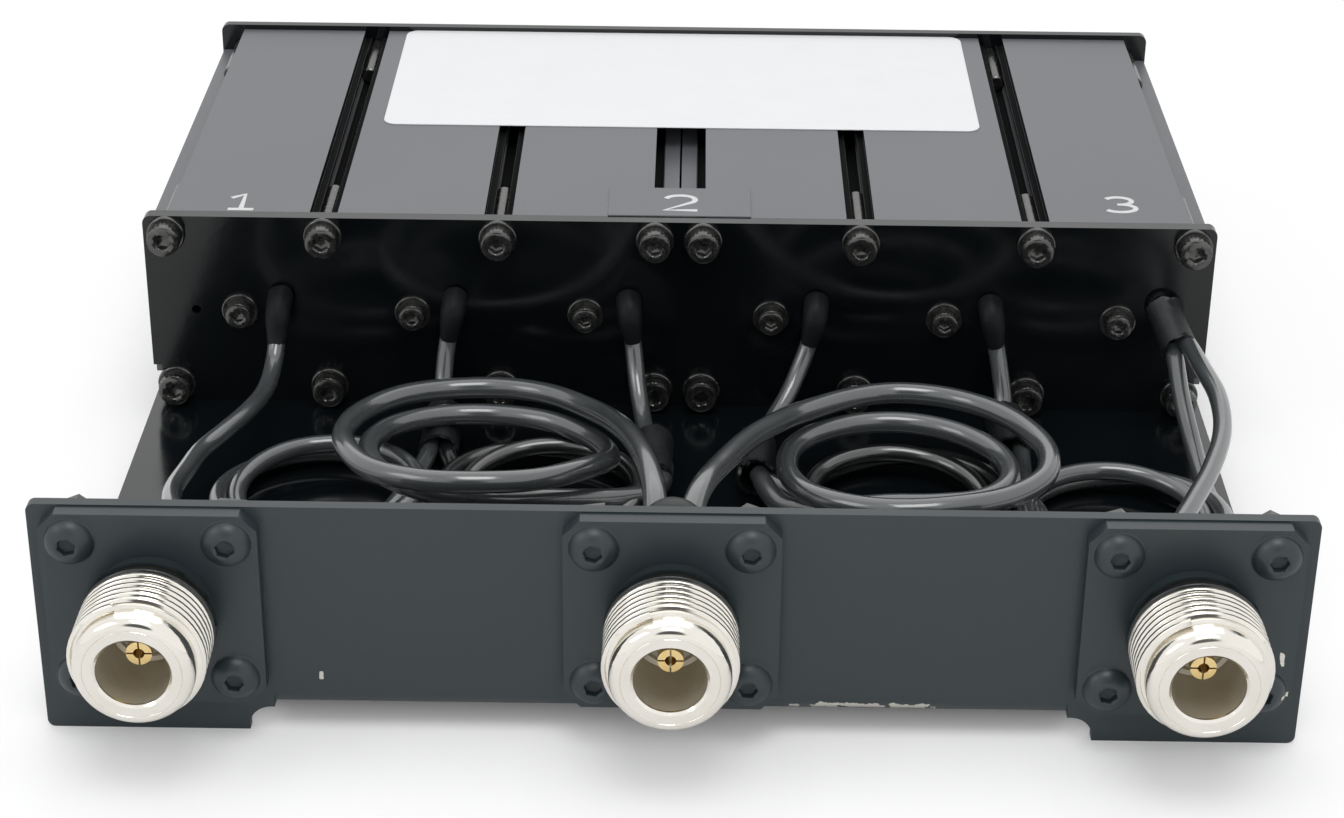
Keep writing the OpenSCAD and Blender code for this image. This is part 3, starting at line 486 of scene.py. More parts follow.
def oil_blacked_steel():
    material, tree = empty_finish("oil_blacked_steel")
    place = add(tree, "ShaderNodeTexCoord").outputs["Object"]
    # the oil lies in patches of about a millimetre
    oil = add(tree, "ShaderNodeTexNoise", {"Vector": place, "Scale": 1 / 0.001, "Detail": 3})
    sheen = add(tree, "ShaderNodeMapRange", {"Value": oil.outputs["Fac"], "From Min": 0.3, "From Max": 0.7,
                                             "To Min": 0.12, "To Max": 0.3})
    tint = add(tree, "ShaderNodeMix",
               {"Factor": oil.outputs["Fac"], "A": linear("#3c4042"), "B": linear("#72716d")},
               data_type="RGBA")
    bump = add(tree, "ShaderNodeBump", {"Height": oil.outputs["Fac"], "Distance": 0.00001, "Strength": 0.4})
    # the oxide is thin, so the steel below still glints at the edges and in the sockets
    shader = add(tree, "ShaderNodeBsdfPrincipled",
                 {"Base Color": tint.outputs["Result"], "Metallic": 0.9, "Roughness": sheen.outputs["Result"],
                  "Normal": bump.outputs["Normal"]})
    add(tree, "ShaderNodeOutputMaterial", {"Surface": shader.outputs["BSDF"]})
    return material


def cap_head(name, radius, height, socket, depth, thread, length):
    """A knurled cap head from its underside at 0, with a hexagon socket and a plain shank."""
    return turned(name, [(-length, 0), (-length, thread - 0.2), (-length + 0.2, thread),
                         (0, thread), (0, radius - 0.1), (0.12, radius, "knurl"),
                         (height - 0.45, radius, "knurl"), (height - 0.38, radius - 0.1),
                         (height - 0.12, radius - 0.14), (height, radius - 0.34),
                         (height, socket + 0.22), (height - 0.12, socket, "hex"),
                         (height - depth, socket, "hex"), (height - depth - 0.35, 0)])


blacked = oil_blacked_steel()
plate_front = 77
block_back = 152.5
rear_face = 154
ports_x = [s * x for s in (-1, 1) for x in (3.35, 25.275, 49.675, 71.6)]
ports_z = (7.4, 30.6)
cavities_x = (-61.875, -37.475, -13.075, 13.075, 37.475, 61.875)
cavity_z = 19
port_washer = 0.6
port_cap = {"radius": 2.3, "height": 2.5, "socket": 1.0, "depth": 1.25, "thread": 1.25}
for side, seat, facing, length, seed in (("front", plate_front - port_washer, toward_jacks, 16, 3),
                                         ("rear", rear_face + port_washer, toward_rear, 15.5, 4)):
    set_out(side + "_port_screws", [(x, seat, z) for x in ports_x for z in ports_z],
            cap_head(side + "_cap_head", length=length, **port_cap), facing, blacked, math.pi, seed,
            "plate_screws")

post_washer = 0.5
post_cap = cap_head("post_cap_head", radius=1.9, height=2.0, socket=0.75, depth=1.0, thread=1.0, length=5.5)
set_out("post_screws", [(x, plate_front - post_washer, cavity_z) for x in cavities_x], post_cap,
        toward_jacks, blacked, math.pi, 5, "resonator_screws")


# Plain washers lie under the screws of the end plates.
# They are punched from steel sheet, which rounds one edge, and blacked with the screws.
def punched_washer(name, outside, inside, thickness):
    """A washer from 0 up, with its upper outside edge rounded."""
    return turned(name, [(0, inside), (0, outside), (thickness * 0.55, outside),
                         (thickness * 0.85, outside - 0.06), (thickness, outside - 0.18),
                         (thickness, inside + 0.05), (thickness - 0.05, inside)], hollow=True)


washer = punched_washer("port_washer", 2.7, 1.3, port_washer)
for side, seat, facing, seed in (("front", plate_front, toward_jacks, 6),
                                 ("rear", rear_face, toward_rear, 7)):
    set_out(side + "_port_washers", [(x, seat, z) for x in ports_x for z in ports_z], washer, facing,
            blacked, 0, seed, "plate_washers")
set_out("post_washers", [(x, plate_front, cavity_z) for x in cavities_x],
        punched_washer("post_washer", 2.6, 1.05, post_washer), toward_jacks, blacked, 0, 8,
        "resonator_washers")


# Three screwed coaxial jacks stand on the front panel: brass bodies plated in bright nickel.
# Flange and neck were sprayed black with the panel, and the rolled thread and the lip left bare.
# The thread has 24 threads to the inch: its flat crests are bright, with fine dark flanks between them.
def bright_nickel(name, spray_end):
    material, tree = empty_finish(name)
    place = add(tree, "ShaderNodeTexCoord").outputs["Object"]
    # handling marks, 4 mm long
    marks = add(tree, "ShaderNodeTexNoise", {"Vector": place, "Scale": 1 / 0.004, "Detail": 5})
    dull = add(tree, "ShaderNodeMapRange", {"Value": marks.outputs["Fac"], "From Min": 0.35, "From Max": 0.75,
                                            "To Min": 0.07, "To Max": 0.2})
    # turning marks, 0.12 mm apart and drawn at twice that to show, run round the axis of each jack
    axes = add(tree, "ShaderNodeSeparateXYZ", {"Vector": place})
    wave = add(tree, "ShaderNodeMath", {0: axes.outputs["Y"], 1: 2 * math.pi / 0.00024}, operation="MULTIPLY")
    tooling = add(tree, "ShaderNodeMath", {0: wave.outputs[0]}, operation="SINE")
    bump = add(tree, "ShaderNodeBump", {"Height": tooling.outputs[0], "Distance": 0.0000025, "Strength": 0.4})
    tint = add(tree, "ShaderNodeMix",
               {"Factor": marks.outputs["Fac"], "A": linear("#f6f3ec"), "B": linear("#e5e0d5")},
               data_type="RGBA")
    # the black spray ends where the front was masked, and turns to a thin grey dust towards there
    drift = add(tree, "ShaderNodeMath", {0: marks.outputs["Fac"], 1: 0.0004, 2: axes.outputs["Y"]},
                operation="MULTIPLY_ADD")
    sprayed = add(tree, "ShaderNodeMapRange",
                  {"Value": drift.outputs[0], "From Min": spray_end, "From Max": spray_end + 0.0003})
    dust = add(tree, "ShaderNodeMapRange",
               {"Value": drift.outputs[0], "From Min": spray_end, "From Max": spray_end + 0.0012})
    spray = add(tree, "ShaderNodeMix", {"Factor": dust.outputs["Result"], "A": linear("#4b4b48"),
                                        "B": linear("#1d2224")}, data_type="RGBA")
    coloured = add(tree, "ShaderNodeMix",
                   {"Factor": sprayed.outputs["Result"], "A": tint.outputs["Result"],
                    "B": spray.outputs["Result"]}, data_type="RGBA")
    plated = add(tree, "ShaderNodeMath", {0: 1.0, 1: sprayed.outputs["Result"]}, operation="SUBTRACT")
    shader = add(tree, "ShaderNodeBsdfPrincipled",
                 {"Base Color": coloured.outputs["Result"], "Metallic": plated.outputs[0],
                  "Roughness": dull.outputs["Result"], "Normal": bump.outputs["Normal"]})
    add(tree, "ShaderNodeOutputMaterial", {"Surface": shader.outputs["BSDF"]})
    return material


# the tree that winds a thread's ridge
winding, winding_sockets = tree_with_inputs(
    "thread_winding", {"Empty": "Geometry", "Turns": "Float", "Length": "Float", "Radius": "Float",
                       "Tooth": "Float", "Finish": "Material"}, "Thread")
given = add(winding, "NodeGroupInput")
helix = add(winding, "GeometryNodeCurveSpiral",
            {"Resolution": 48, "Rotations": given.outputs["Turns"], "Start Radius": given.outputs["Radius"],
             "End Radius": given.outputs["Radius"], "Height": given.outputs["Length"]})
upright = add(winding, "GeometryNodeSetCurveNormal", {"Curve": helix.outputs["Curve"]}, mode="Z_UP")
pointed_out = add(winding, "GeometryNodeSetCurveTilt", {"Curve": upright.outputs["Curve"], "Tilt": math.pi})
tooth = add(winding, "GeometryNodeCurvePrimitiveCircle", {"Resolution": 3, "Radius": given.outputs["Tooth"]})
stepped = add(winding, "GeometryNodeSubdivideCurve", {"Curve": tooth.outputs["Curve"], "Cuts": 5})
ridge = add(winding, "GeometryNodeCurveToMesh",
            {"Curve": pointed_out.outputs["Curve"], "Profile Curve": stepped.outputs["Curve"],
             "Fill Caps": True})
real = add(winding, "GeometryNodeRealizeInstances", {"Geometry": ridge.outputs["Mesh"]})
finished = add(winding, "GeometryNodeSetMaterial",
               {"Geometry": real.outputs["Geometry"], "Material": given.outputs["Finish"]})
add(winding, "NodeGroupOutput", {"Thread": finished.outputs["Geometry"]})


def thread_ridge(name, crest, pitch, length, flat, finish):
    """The ridge of a thread about Z from 0 up, in metres, with crests flattened over a share of the pitch."""
    # the ridge's foot takes this share of the pitch
    foot = 0.88
    tooth_size = pitch * foot / math.sqrt(3)
    apex = crest + flat * pitch * math.sqrt(3) / 2
    maker = new_object(name, bpy.data.meshes.new(name))
    wound = maker.modifiers.new("wound", "NODES")
    wound.node_group = winding
    wound[winding_sockets["Turns"]] = length / pitch
    wound[winding_sockets["Length"]] = length / 1000
    wound[winding_sockets["Radius"]] = (apex - tooth_size) / 1000
    wound[winding_sockets["Tooth"]] = tooth_size / 1000
    wound[winding_sockets["Finish"]] = finish
    piece = plain_mesh(maker, name)
    mesh = piece.data
    bpy.data.objects.remove(piece)
    for vertex in mesh.vertices:
        away = math.hypot(vertex.co.x, vertex.co.y)
        if away > crest / 1000:
            vertex.co.x *= crest / 1000 / away
            vertex.co.y *= crest / 1000 / away
    smooth_to(mesh, 40)
    return mesh


spray_end = panel_face - 0.0068
nickel = bright_nickel("bright_nickel_plate", spray_end)
# painted shade: a dark nickel for the shade in the thread's roots
root_shade_nickel = plain_finish("nickel_painted_root_shade", "#6f695c", 0.35, metallic=1.0, second="#3c3a35")
bore_nickel = plain_finish("thin_nickel_in_the_bore", "#dcd7ca", 0.4, metallic=0.7, patch=0.003,
                           second="#c2baa6")
jacks_x = (-60.7, 0, 60.7)
jack_z = 17.8
flange_front = -2
# where each of these ends along a jack's axis, in millimetres in front of its flange
neck = 2.5
thread_end = 11.3
groove_end = 11.55
sleeve_end = 13.4
lip_end = 14
# radii of the thread's crest and root, the groove, the lip, the sleeve and the bore
crest = 7.94
minor = 7.54
groove = 6.95
lip = 7.05
sleeve_radius = 5.4
bore = 4.25
lip_round = 1.3
runout = 0.5
barrel_rows = [(thread_end - runout, sleeve_radius), (thread_end - runout, minor), (thread_end - 0.15, minor),
               (thread_end, groove), (groove_end - 0.1, groove), (groove_end, lip)]
# the lip is rounded with a forming tool, which has left a fine line round its flat face
for degrees in range(0, 91, 15):
    forward = lip_round * (1 - math.sin(math.radians(degrees)))
    inward = lip_round * (1 - math.cos(math.radians(degrees)))
    barrel_rows.append((lip_end - forward, lip - inward))
barrel_rows += [(lip_end - 0.07, lip - lip_round - 0.05), (lip_end, lip - lip_round - 0.1),
                (lip_end, bore + 0.3), (lip_end - 0.3, bore), (sleeve_end, bore), (sleeve_end, sleeve_radius)]
barrel = turned("jack_barrel", barrel_rows, segments=96, hollow=True, sharp=25)
# the sleeve inside the barrel has a small lip in front of the insulator
insulator_front = 3.6
sleeve = turned("jack_sleeve", [(-5.9, bore), (-5.9, 6.2), (-2.2, 6.2), (-2.2, sleeve_radius),
                                (sleeve_end, sleeve_radius), (sleeve_end, bore), (4.4, bore), (4.25, 3.7),
                                (3.7, 3.65), (insulator_front, bore)], segments=96, hollow=True)
# painted shade: the thread's roots take a dark, dull nickel, for the shade between the crests
core = turned("thread_core", [(neck, sleeve_radius), (neck, 7.0), (neck + 0.15, minor),
                              (thread_end - runout, minor), (thread_end - runout, sleeve_radius)],
              segments=96, hollow=True)
jack_pitch = 25.4 / 24
thread_start = neck + 0.55
thread_length = thread_end - neck - 0.65
flat_share = 0.4
thread = thread_ridge("jack_thread", crest, jack_pitch, thread_length, flat_share, nickel)
masked_depth = 0.0008
for number, x in enumerate(jacks_x, 1):
    node = "jack_body_%d" % number
    cut = (placed([(x, flange_front - neck, jack_z)])[0], (0, -1, 0))
    flange = edges_broken(node, 0.00025, satin_spray, "jack_flange_%d" % number, cut)
    flange.data.materials.append(nickel)
    for face in flange.data.polygons:
        # behind the panel the body stays bare nickel
        if face.center.y > panel_face + masked_depth:
            face.material_index = 1
    for name, mesh, start, finish in (("barrel", barrel, 0, nickel),
                                      ("thread_root", core, 0, root_shade_nickel),
                                      ("bore", sleeve, 0, bore_nickel),
                                      ("thread", thread, thread_start, nickel)):
        set_out("jack_%s_%d" % (name, number), [(x, flange_front - start, jack_z)], mesh, toward_jacks,
                finish, 0, number, node)


# Each jack's insulator is turned from white fluoropolymer, and its centre contact is gold plated.
# The contact is a slotted socket, and a lip rolled into the bore holds the insulator.
def dress(node, finish):
    """A carried-over solid takes the finish in every material slot."""
    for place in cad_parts[node].material_slots:
        place.material = finish


fluoropolymer = plain_finish("turned_white_fluoropolymer", "#dedacf", 0.4, second="#cfc8b8")
gold = plain_finish("gold_plated_contact", "#f8e2ab", 0.28, metallic=1.0, second="#ecca85")
for number in (1, 2, 3):
    dress("jack_insulator_%d" % number, fluoropolymer)
    dress("jack_contact_%d" % number, gold)


# Low button head screws hold each flange, with nuts behind the panel.
# The heads were sprayed with the flange, and the paint has closed round them in a thin rim.
hole_offset = 9.13
flange_places = [(x + dx, jack_z + dz) for x in jacks_x for dx in (-hole_offset, hole_offset)
                 for dz in (-hole_offset, hole_offset)]
button = turned("button_head", [(-6.5, 0), (-6.5, 1.35), (-6.3, 1.5), (0, 1.5), (0, 3.1), (0.07, 2.93),
                                (0.3, 2.84), (0.6, 2.72), (0.95, 2.45), (1.25, 2.1), (1.5, 1.65), (1.62, 1.3),
                                (1.58, 1.16), (1.5, 1.0, "hex"), (0.55, 1.0, "hex"), (0.3, 0)], sharp=40)
button_places = [(x, flange_front, z) for x, z in flange_places]
buttons = set_out("flange_screws_painted", button_places, button, toward_jacks, satin_spray, math.pi, 11,
                  "flange_screws")
# painted shade: their sockets take the near-black of the painted recess shade
buttons.data.materials.append(recess_shade)
middles = placed(button_places)
socket_reach = 0.00108
for face in buttons.data.polygons:
    off_axis = min(math.hypot(face.center.x - middle.x, face.center.z - middle.z) for middle in middles)
    if off_axis < socket_reach and face.center.y < middles[0].y:
        face.material_index = 1
panel_back = 1.5
hexagon_nut = turned("flange_nut", [(0, 1.55), (0, 2.5), (0.25, 2.75, "hex"), (2.15, 2.75, "hex"), (2.4, 2.5),
                                    (2.4, 1.75), (2.2, 1.55)], hollow=True)
set_out("flange_nuts_blacked", [(x, panel_back, z) for x, z in flange_places], hexagon_nut, toward_rear,
        blacked, 0.5, 12, "flange_nuts")


# Four countersunk screws hold the block down from under the floor.
# They are blacked steel like the others, and their heads are sunk into the sheet.
dress("base_screws", blacked)


# A bare white vinyl film with rounded corners is stuck on top of the block, and lies flat.
# A narrow strip of film in the block's finish, with its painted sheen grey, bridges the joint of the two
# extrusions.
vinyl = plain_finish("white_gloss_vinyl_film", "#f4f5f7", 0.3, patch=0.006, spread_by=0.1, second="#eef0f3")
edges_broken("blank_label", 0.00008, vinyl, "bare_label")
edges_broken("marker_strip", 0.00006, anodised, "marker_film_strip")


# The ports are numbered in white ink, silk-screened on the block above each jack.
# Each stroke is a line of even width, and the ink stands up a little.
def bow(x, y, across, up, start, stop):
    """Points along part of an oval, from one angle to another in degrees."""
    angles = [math.radians(start + (stop - start) * k / 14) for k in range(15)]
    return [(x + across * math.cos(a), y + up * math.sin(a)) for a in angles]


ink = plain_finish("white_screen_ink", "#eceeee", 0.5, patch=0.0008, spread_by=0.1, second="#d4d8d8")
strokes = {1: [[(-1.5, 3.9), (0.3, 5.2), (0.3, 0)], [(-1.5, 0), (2.1, 0)]],
           2: [bow(0, 3.7, 2.1, 1.5, 165, -35) + [(-2.2, 0), (2.4, 0)]],
           3: [bow(0, 3.9, 1.9, 1.3, 150, -90) + bow(0, 1.35, 2.2, 1.35, 90, -150)]}
stroke_width = 0.85
for number, place in enumerate(((-61.7, 79.8, 33.3), (0.1, 80.9, 33.5), (62.1, 82.7, 33.3)), 1):
    figure = bpy.data.curves.new("figure", "CURVE")
    figure.dimensions = "3D"
    figure.bevel_depth = stroke_width / 2000
    figure.bevel_resolution = 2
    figure.use_fill_caps = True
    for points in strokes[number]:
        line = figure.splines.new("POLY")
        line.points.add(len(points) - 1)
        for point, (across, up) in zip(line.points, points):
            point.co = (across / 1000, up / 1000, 0, 1)
    writer = new_object("figure", figure)
    numeral = plain_mesh(writer, "port_number_%d" % number, ink)
    flattened = Matrix.Diagonal((1, 1, 0.05, 1))
    numeral.data.transform(Matrix.Translation(placed([place])[0]) @ flattened)
    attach(numeral, "housing")


# Six tuning screws stand out of the rear plate, each held by a lock nut on its brass thread.
# They are turned brass with a screwdriver slot, and the nuts are machined hexagons.
brass = plain_finish("machined_brass", "#d8b565", 0.22, metallic=1.0, patch=0.003, spread_by=0.14,
                     second="#c79f52")
screw_end = 166
tuning_radius = 3.0
tuning_pitch = 0.75
core_radius = 0.00255
thread_begin = block_back + 0.6
thread_length = screw_end - block_back - 1.6
tuning_thread = thread_ridge("tuning_thread", tuning_radius, tuning_pitch, thread_length, 0, brass)
for number, x in enumerate(cavities_x, 1):
    node = "tuning_screw_%d" % number
    body = "screw_%d" % number
    work = merged_copy(node)
    middle = placed([(x, 0, cavity_z)])[0]
    threaded = panel_face + block_back / 1000 - 0.0005
    for vertex in work.verts:
        # the core under the thread is thinner than the solid
        away = Vector((vertex.co.x - middle.x, 0, vertex.co.z - middle.z))
        if vertex.co.y > threaded and away.length > core_radius:
            vertex.co.x = middle.x + away.x * core_radius / away.length
            vertex.co.z = middle.z + away.z * core_radius / away.length
    core = new_object("tuning_core_%d" % number, shaded_mesh(work, node + "_brass"))
    core.data.materials.append(brass)
    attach(core, body)
    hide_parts(node)
    set_out("tuning_thread_%d" % number, [(x, thread_begin, cavity_z)], tuning_thread, toward_rear, brass,
            0, number, node, body)
    dress("tuning_slug_%d" % number,
          plain_finish("silvered_slug_%d" % number, "#dcdad2", 0.2, metallic=1.0, second="#c6c3b8"))

lock_nut = turned("lock_nut", [(0, 3.03), (0, 4.6), (0.35, 5.0, "hex"), (2.65, 5.0, "hex"), (3.0, 4.6),
                               (3.0, 3.3), (2.75, 3.03)], hollow=True)
set_out("lock_nuts_brass", [(x, rear_face, cavity_z) for x in cavities_x], lock_nut, toward_rear, brass,
        0.6, 21, "lock_nuts")


# Inside each cavity a coil of drawn copper wire stands on a turned brass post.
# Both are out of sight behind the front plate, where the post is screwed to it.
copper = plain_finish("drawn_copper_wire", "#c98a5a", 0.25, metallic=1.0, patch=0.004, second="#b5774a")
dress("resonator_posts", brass)
dress("low_side_coils", copper)
dress("high_side_coils", copper)


# The harness: two port leads, four coiled jumpers and two coiled antenna cables, all coaxial.
# Each is an extruded jacket of black PVC, glossy, with faint waves from the braid below it.
# The routes are in millimetres from the panel's face, and pass through each cable hole's mouth.
def extruded_pvc(name, colour, ripple):
    material, tree = empty_finish(name)
    # a jacket picks up dull patches from handling, a centimetre or so long
    place = add(tree, "ShaderNodeTexCoord").outputs["Object"]
    patches = add(tree, "ShaderNodeTexNoise", {"Vector": place, "Scale": 1 / 0.012, "Detail": 3})
    gloss = add(tree, "ShaderNodeMapRange",
                {"Value": patches.outputs["Fac"], "From Min": 0.35, "From Max": 0.7,
                 "To Min": 0.24, "To Max": 0.38})
    # waves from the braid, about a millimetre apart
    waves = add(tree, "ShaderNodeTexNoise", {"Vector": place, "Scale": 1 / 0.0011, "Detail": 1})
    bump = add(tree, "ShaderNodeBump", {"Height": waves.outputs["Fac"], "Distance": ripple, "Strength": 0.5})
    # the plasticiser that has come to the surface gives a film with a strong, clear reflection
    shader = add(tree, "ShaderNodeBsdfPrincipled",
                 {"Base Color": linear(colour), "Roughness": gloss.outputs["Result"], "Coat Weight": 1.0,
                  "Coat Roughness": 0.12, "Coat IOR": 1.75, "Normal": bump.outputs["Normal"]})
    add(tree, "ShaderNodeOutputMaterial", {"Surface": shader.outputs["BSDF"]})
    return material


jacket = extruded_pvc("handled_black_pvc", "#434749", 0.00003)
# painted shade: a far darker copy of the jacket, for the jumpers that lie in the shadow of the antenna coils
shaded_jacket = extruded_pvc("black_pvc_painted_shade", "#17191a", 0.00002)


def smooth(points, step=0.0009):
    """Points on one smooth line through all the given points, about a step apart."""
    line = []
    for i in range(len(points) - 1):
        here, there = points[i], points[i + 1]
        reach = (there - here).length
        leaving = (there - points[max(i - 1, 0)]).normalized() * reach
        arriving = (points[min(i + 2, len(points) - 1)] - here).normalized() * reach
        count = max(2, round(reach / step))
        for k in range(count):
            t = k / count
            line.append(here * (2 * t ** 3 - 3 * t ** 2 + 1) + leaving * (t ** 3 - 2 * t ** 2 + t)
                        + there * (3 * t ** 2 - 2 * t ** 3) + arriving * (t ** 3 - t ** 2))
    line.append(points[-1])
    return line


def coil(centre, start, turn, radii, heights):
    """A coil's points: the angles start and turn in degrees, the radii and heights spread over the turns."""
    steps_in_turn = 16

    def spread(values, t):
        at = t * (len(values) - 1)
        low = min(int(at), len(values) - 2)
        return values[low] + (values[low + 1] - values[low]) * (at - low)

    count = round(abs(turn) / 360 * steps_in_turn)
    points = []
    for k in range(count + 1):
        angle = math.radians(start + turn * k / count)
        radius = spread(radii, k / count)
        points.append((centre[0] + radius * math.cos(angle), centre[1] + radius * math.sin(angle),
                       spread(heights, k / count)))
    return points


def cable(name, points, diameter, nodes, finish=jacket,
          tip=1):
    """A round cable along a smooth line, which stands for its solids; tip is its last width, as a share."""
    line = smooth(placed(points))
    curve = bpy.data.curves.new(name, "CURVE")
    curve.dimensions = "3D"
    spline = curve.splines.new("POLY")
    spline.points.add(len(line) - 1)
    for step, (point, place) in enumerate(zip(spline.points, line)):
        point.co = (*place, 1)
        point.radius = 1 - (1 - tip) * max(0, 2 * step / (len(line) - 1) - 1)
    curve.bevel_depth = diameter / 2000
    curve.bevel_resolution = 5
    curve.use_fill_caps = True
    curve.materials.append(finish)
    piece = new_object(name, curve)
    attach(piece, "housing")
    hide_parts(*nodes)


lead_diameter = 2.5
antenna_diameter = 3.0
mouth = plate_front + 1.6
hole_z = 21.5
cable("low_port_cable",
      [(-55.7, mouth, hole_z), (-56, plate_front, hole_z), (-56.1, 74.3, 20.4), (-56.2, 72.4, 17),
       (-56.4, 69.6, 14.4), (-56.9, 64.2, 13), (-58.3, 58, 13), (-60.6, 52.1, 13), (-62.9, 46.2, 13.1),
       (-63.7, 39, 14), (-64, 31.8, 15.4), (-63.2, 25.5, 17.2), (-61.7, 19, 18.6), (-60.7, 13, 19.1)],
      lead_diameter, ["low_port_lead"])
cable("high_port_cable",
      [(70.2, 71.6, 19.4), (70.8, 70.3, 19), (71.8, 63, 18.8), (72.7, 55, 18.5), (71.9, 46, 18),
       (68.9, 36, 17.8), (65.2, 27, 17.8), (61.8, 19, 17.8), (60.7, 13, 17.8)],
      lead_diameter, ["high_port_lead"])
cable("cavity_cable_2",
      [(-31.3, mouth, hole_z), (-31.4, plate_front, hole_z), (-31.5, 75.1, 20.9), (-31.8, 74.2, 19.2),
       (-32.2, 74, 17), (-32.6, 73.2, 14.6), (-32.9, 71.2, 11), (-32.8, 68, 8), (-32.5, 64, 7.4)],
      lead_diameter, ["cavity_stub_2"])
cable("cavity_cable_3",
      [(-6.9, mouth, hole_z), (-7, plate_front, hole_z), (-6.9, 75.1, 20.9), (-6.7, 74.2, 19.2),
       (-6.4, 74, 17), (-6.1, 73.2, 14.8), (-5.6, 70.6, 11.4), (-4.8, 66.4, 8.6), (-4, 61.5, 7.5),
       (-3.4, 57, 7.5)],
      lead_diameter, ["cavity_stub_3"])
cable("cavity_cable_4",
      [(19.3, mouth, hole_z), (19.4, plate_front, hole_z), (19.3, 75.1, 20.9), (19.1, 74.2, 19.2),
       (18.6, 74, 17), (17.7, 73, 14.6), (15.7, 69.8, 10.8), (12.9, 65, 8), (11.2, 60, 7.5), (11, 57, 7.5)],
      lead_diameter, ["cavity_stub_4"])
cable("cavity_cable_5",
      [(43.7, mouth, hole_z), (43.8, plate_front, hole_z), (43.9, 75.1, 20.9), (44.2, 74.2, 19.2),
       (44.6, 74, 17), (45.1, 73.2, 14.6), (45.7, 71.6, 11), (46, 69, 8), (46, 65, 7.5)],
      lead_diameter, ["cavity_stub_5"])

# a jumper's turns lie two wide and two high
low_z = 6.1
high_z = 8.5
inner = 10.85
outer = 13.3
jumper_radii = [outer, outer, outer, outer, outer, inner, inner, inner]
jumper_heights = [7.3, low_z, low_z, high_z, high_z, high_z, low_z + 0.3, 7.3]
cable("jumper_1_to_2",
      [(-60.7, 14, 16.5), (-60.9, 19, 13.5), (-60, 25, 9.5), (-56, 30.5, 7.5), (-51, 33.5, 7.3)]
      + coil((-47.5, 45.5), 275, 792, jumper_radii, jumper_heights)
      + [(-35.0, 50, 7.4), (-33.8, 56.5, 7.6), (-33.8, 60, 7.6)],
      lead_diameter, ["jumper_12_ends", "jumper_12_coil"])
# painted shade: this jumper and the next lie under the antenna coils and take the shaded jacket
cable("jumper_2_to_3",
      [(-31.2, 60, 7.6), (-31.2, 56.5, 7.6), (-30.2, 52, 7.4)]
      + coil((-17.5, 46.5), 180, 878, jumper_radii, jumper_heights)
      + [(-5.4, 47, 7.4), (-4.5, 50.5, 7.6), (-4.3, 53.5, 7.6)],
      lead_diameter, ["jumper_23_ends", "jumper_23_coil"], shaded_jacket)
cable("jumper_4_to_5",
      [(44.7, 61, 7.6), (44.7, 58, 7.6), (43.2, 53.5, 7.4)]
      + coil((30.5, 45.8), 5, -880, jumper_radii, jumper_heights)
      + [(15, 47.2, 7.4), (12.4, 50, 7.6), (12.2, 53, 7.6)],
      lead_diameter, ["jumper_45_ends", "jumper_45_coil"], shaded_jacket)
cable("jumper_5_to_6",
      [(69.0, 71.4, 17.6), (69.2, 70, 17), (69.6, 64, 13.5), (70.6, 57, 9.5), (71.2, 49, 7.4)]
      + coil((59, 41), 5, -912, jumper_radii, jumper_heights)
      + [(46.9, 47, 7.3), (47, 51, 7.4), (47.3, 58, 7.6), (47.3, 61, 7.6)],
      lead_diameter, ["jumper_56_ends", "jumper_56_coil"])

# the antenna cables are coiled by hand: each drops from its jack onto two loose turns
cable("antenna_cable_low",
      [(-2.1, 11, 21.5), (-2.1, 13, 22.7), (-2.4, 18, 23.4), (-3.5, 27, 22.6), (-5.4, 37, 20.5),
       (-8.1, 46.8, 17.8), (-11.8, 55.4, 15.3), (-17.2, 61.4, 14.2), (-23.7, 64.2, 13.7),
       (-31.4, 63.9, 13.6), (-37.6, 60.6, 14.2), (-42.2, 54.8, 14.8), (-44, 47.8, 15.6),
       (-42.8, 40.6, 16.6), (-39.2, 34.4, 17.2), (-32.8, 30.2, 17.9), (-25.4, 29.1, 18.2),
       (-17.8, 31.5, 17.4), (-12, 37.2, 15.9), (-8.9, 44, 13.6), (-9.3, 49, 12.4), (-11.8, 54.2, 11.6),
       (-17.3, 59.4, 11.1), (-25.4, 61.8, 10.8), (-33, 60.3, 11.2), (-38.4, 55.6, 12.1),
       (-40.8, 49.4, 12.9), (-39.8, 42.3, 13.8), (-36.3, 36.5, 14.3), (-30.5, 33.4, 14.3),
       (-23.5, 32.8, 13.8), (-17.5, 34.8, 12.6), (-12.5, 37.4, 11.2), (-7.5, 40.6, 9.6),
       (-3.6, 44.6, 8.2), (-2, 48.6, 7.6), (-1.7, 53, 7.6)],
      antenna_diameter, ["antenna_low_ends", "antenna_low_coil"])
cable("antenna_cable_high",
      [(2.1, 11, 21.5), (2.1, 13, 22.7), (3.2, 19, 23.1), (5.6, 28.5, 21.3), (9.4, 40.4, 18.8),
       (12.7, 47.6, 17.2), (16.7, 54, 15.8), (24.5, 60.6, 14.9), (31, 62.4, 14.7), (38.4, 60.6, 14.7),
       (44.3, 55.4, 15.1), (48.2, 48.2, 15.3), (49, 42.6, 15.3), (47.6, 37.6, 15.1), (43, 32.8, 15.1),
       (36.2, 29.2, 15.6), (28.6, 28.4, 15.4), (22.3, 30.6, 14.8), (17.6, 34.8, 14), (15.2, 40.4, 13.2),
       (14.8, 46, 12.6), (15.9, 51, 12.2), (18.9, 55, 12.1), (24, 57.8, 12.1), (30.6, 58.6, 12.1),
       (37.2, 56.4, 12.1), (42.2, 51.6, 12.1), (44.2, 46, 12.2), (43.4, 40.8, 12.2), (39.8, 37.2, 12.1),
       (34, 36, 12), (28, 36.4, 11.6), (22.5, 37.6, 10.4), (17.8, 39.6, 8.8), (14.6, 42.6, 7.7),
       (12.6, 46.8, 7.5), (11.4, 51.5, 7.6)],
      antenna_diameter, ["antenna_high_ends", "antenna_high_coil"])


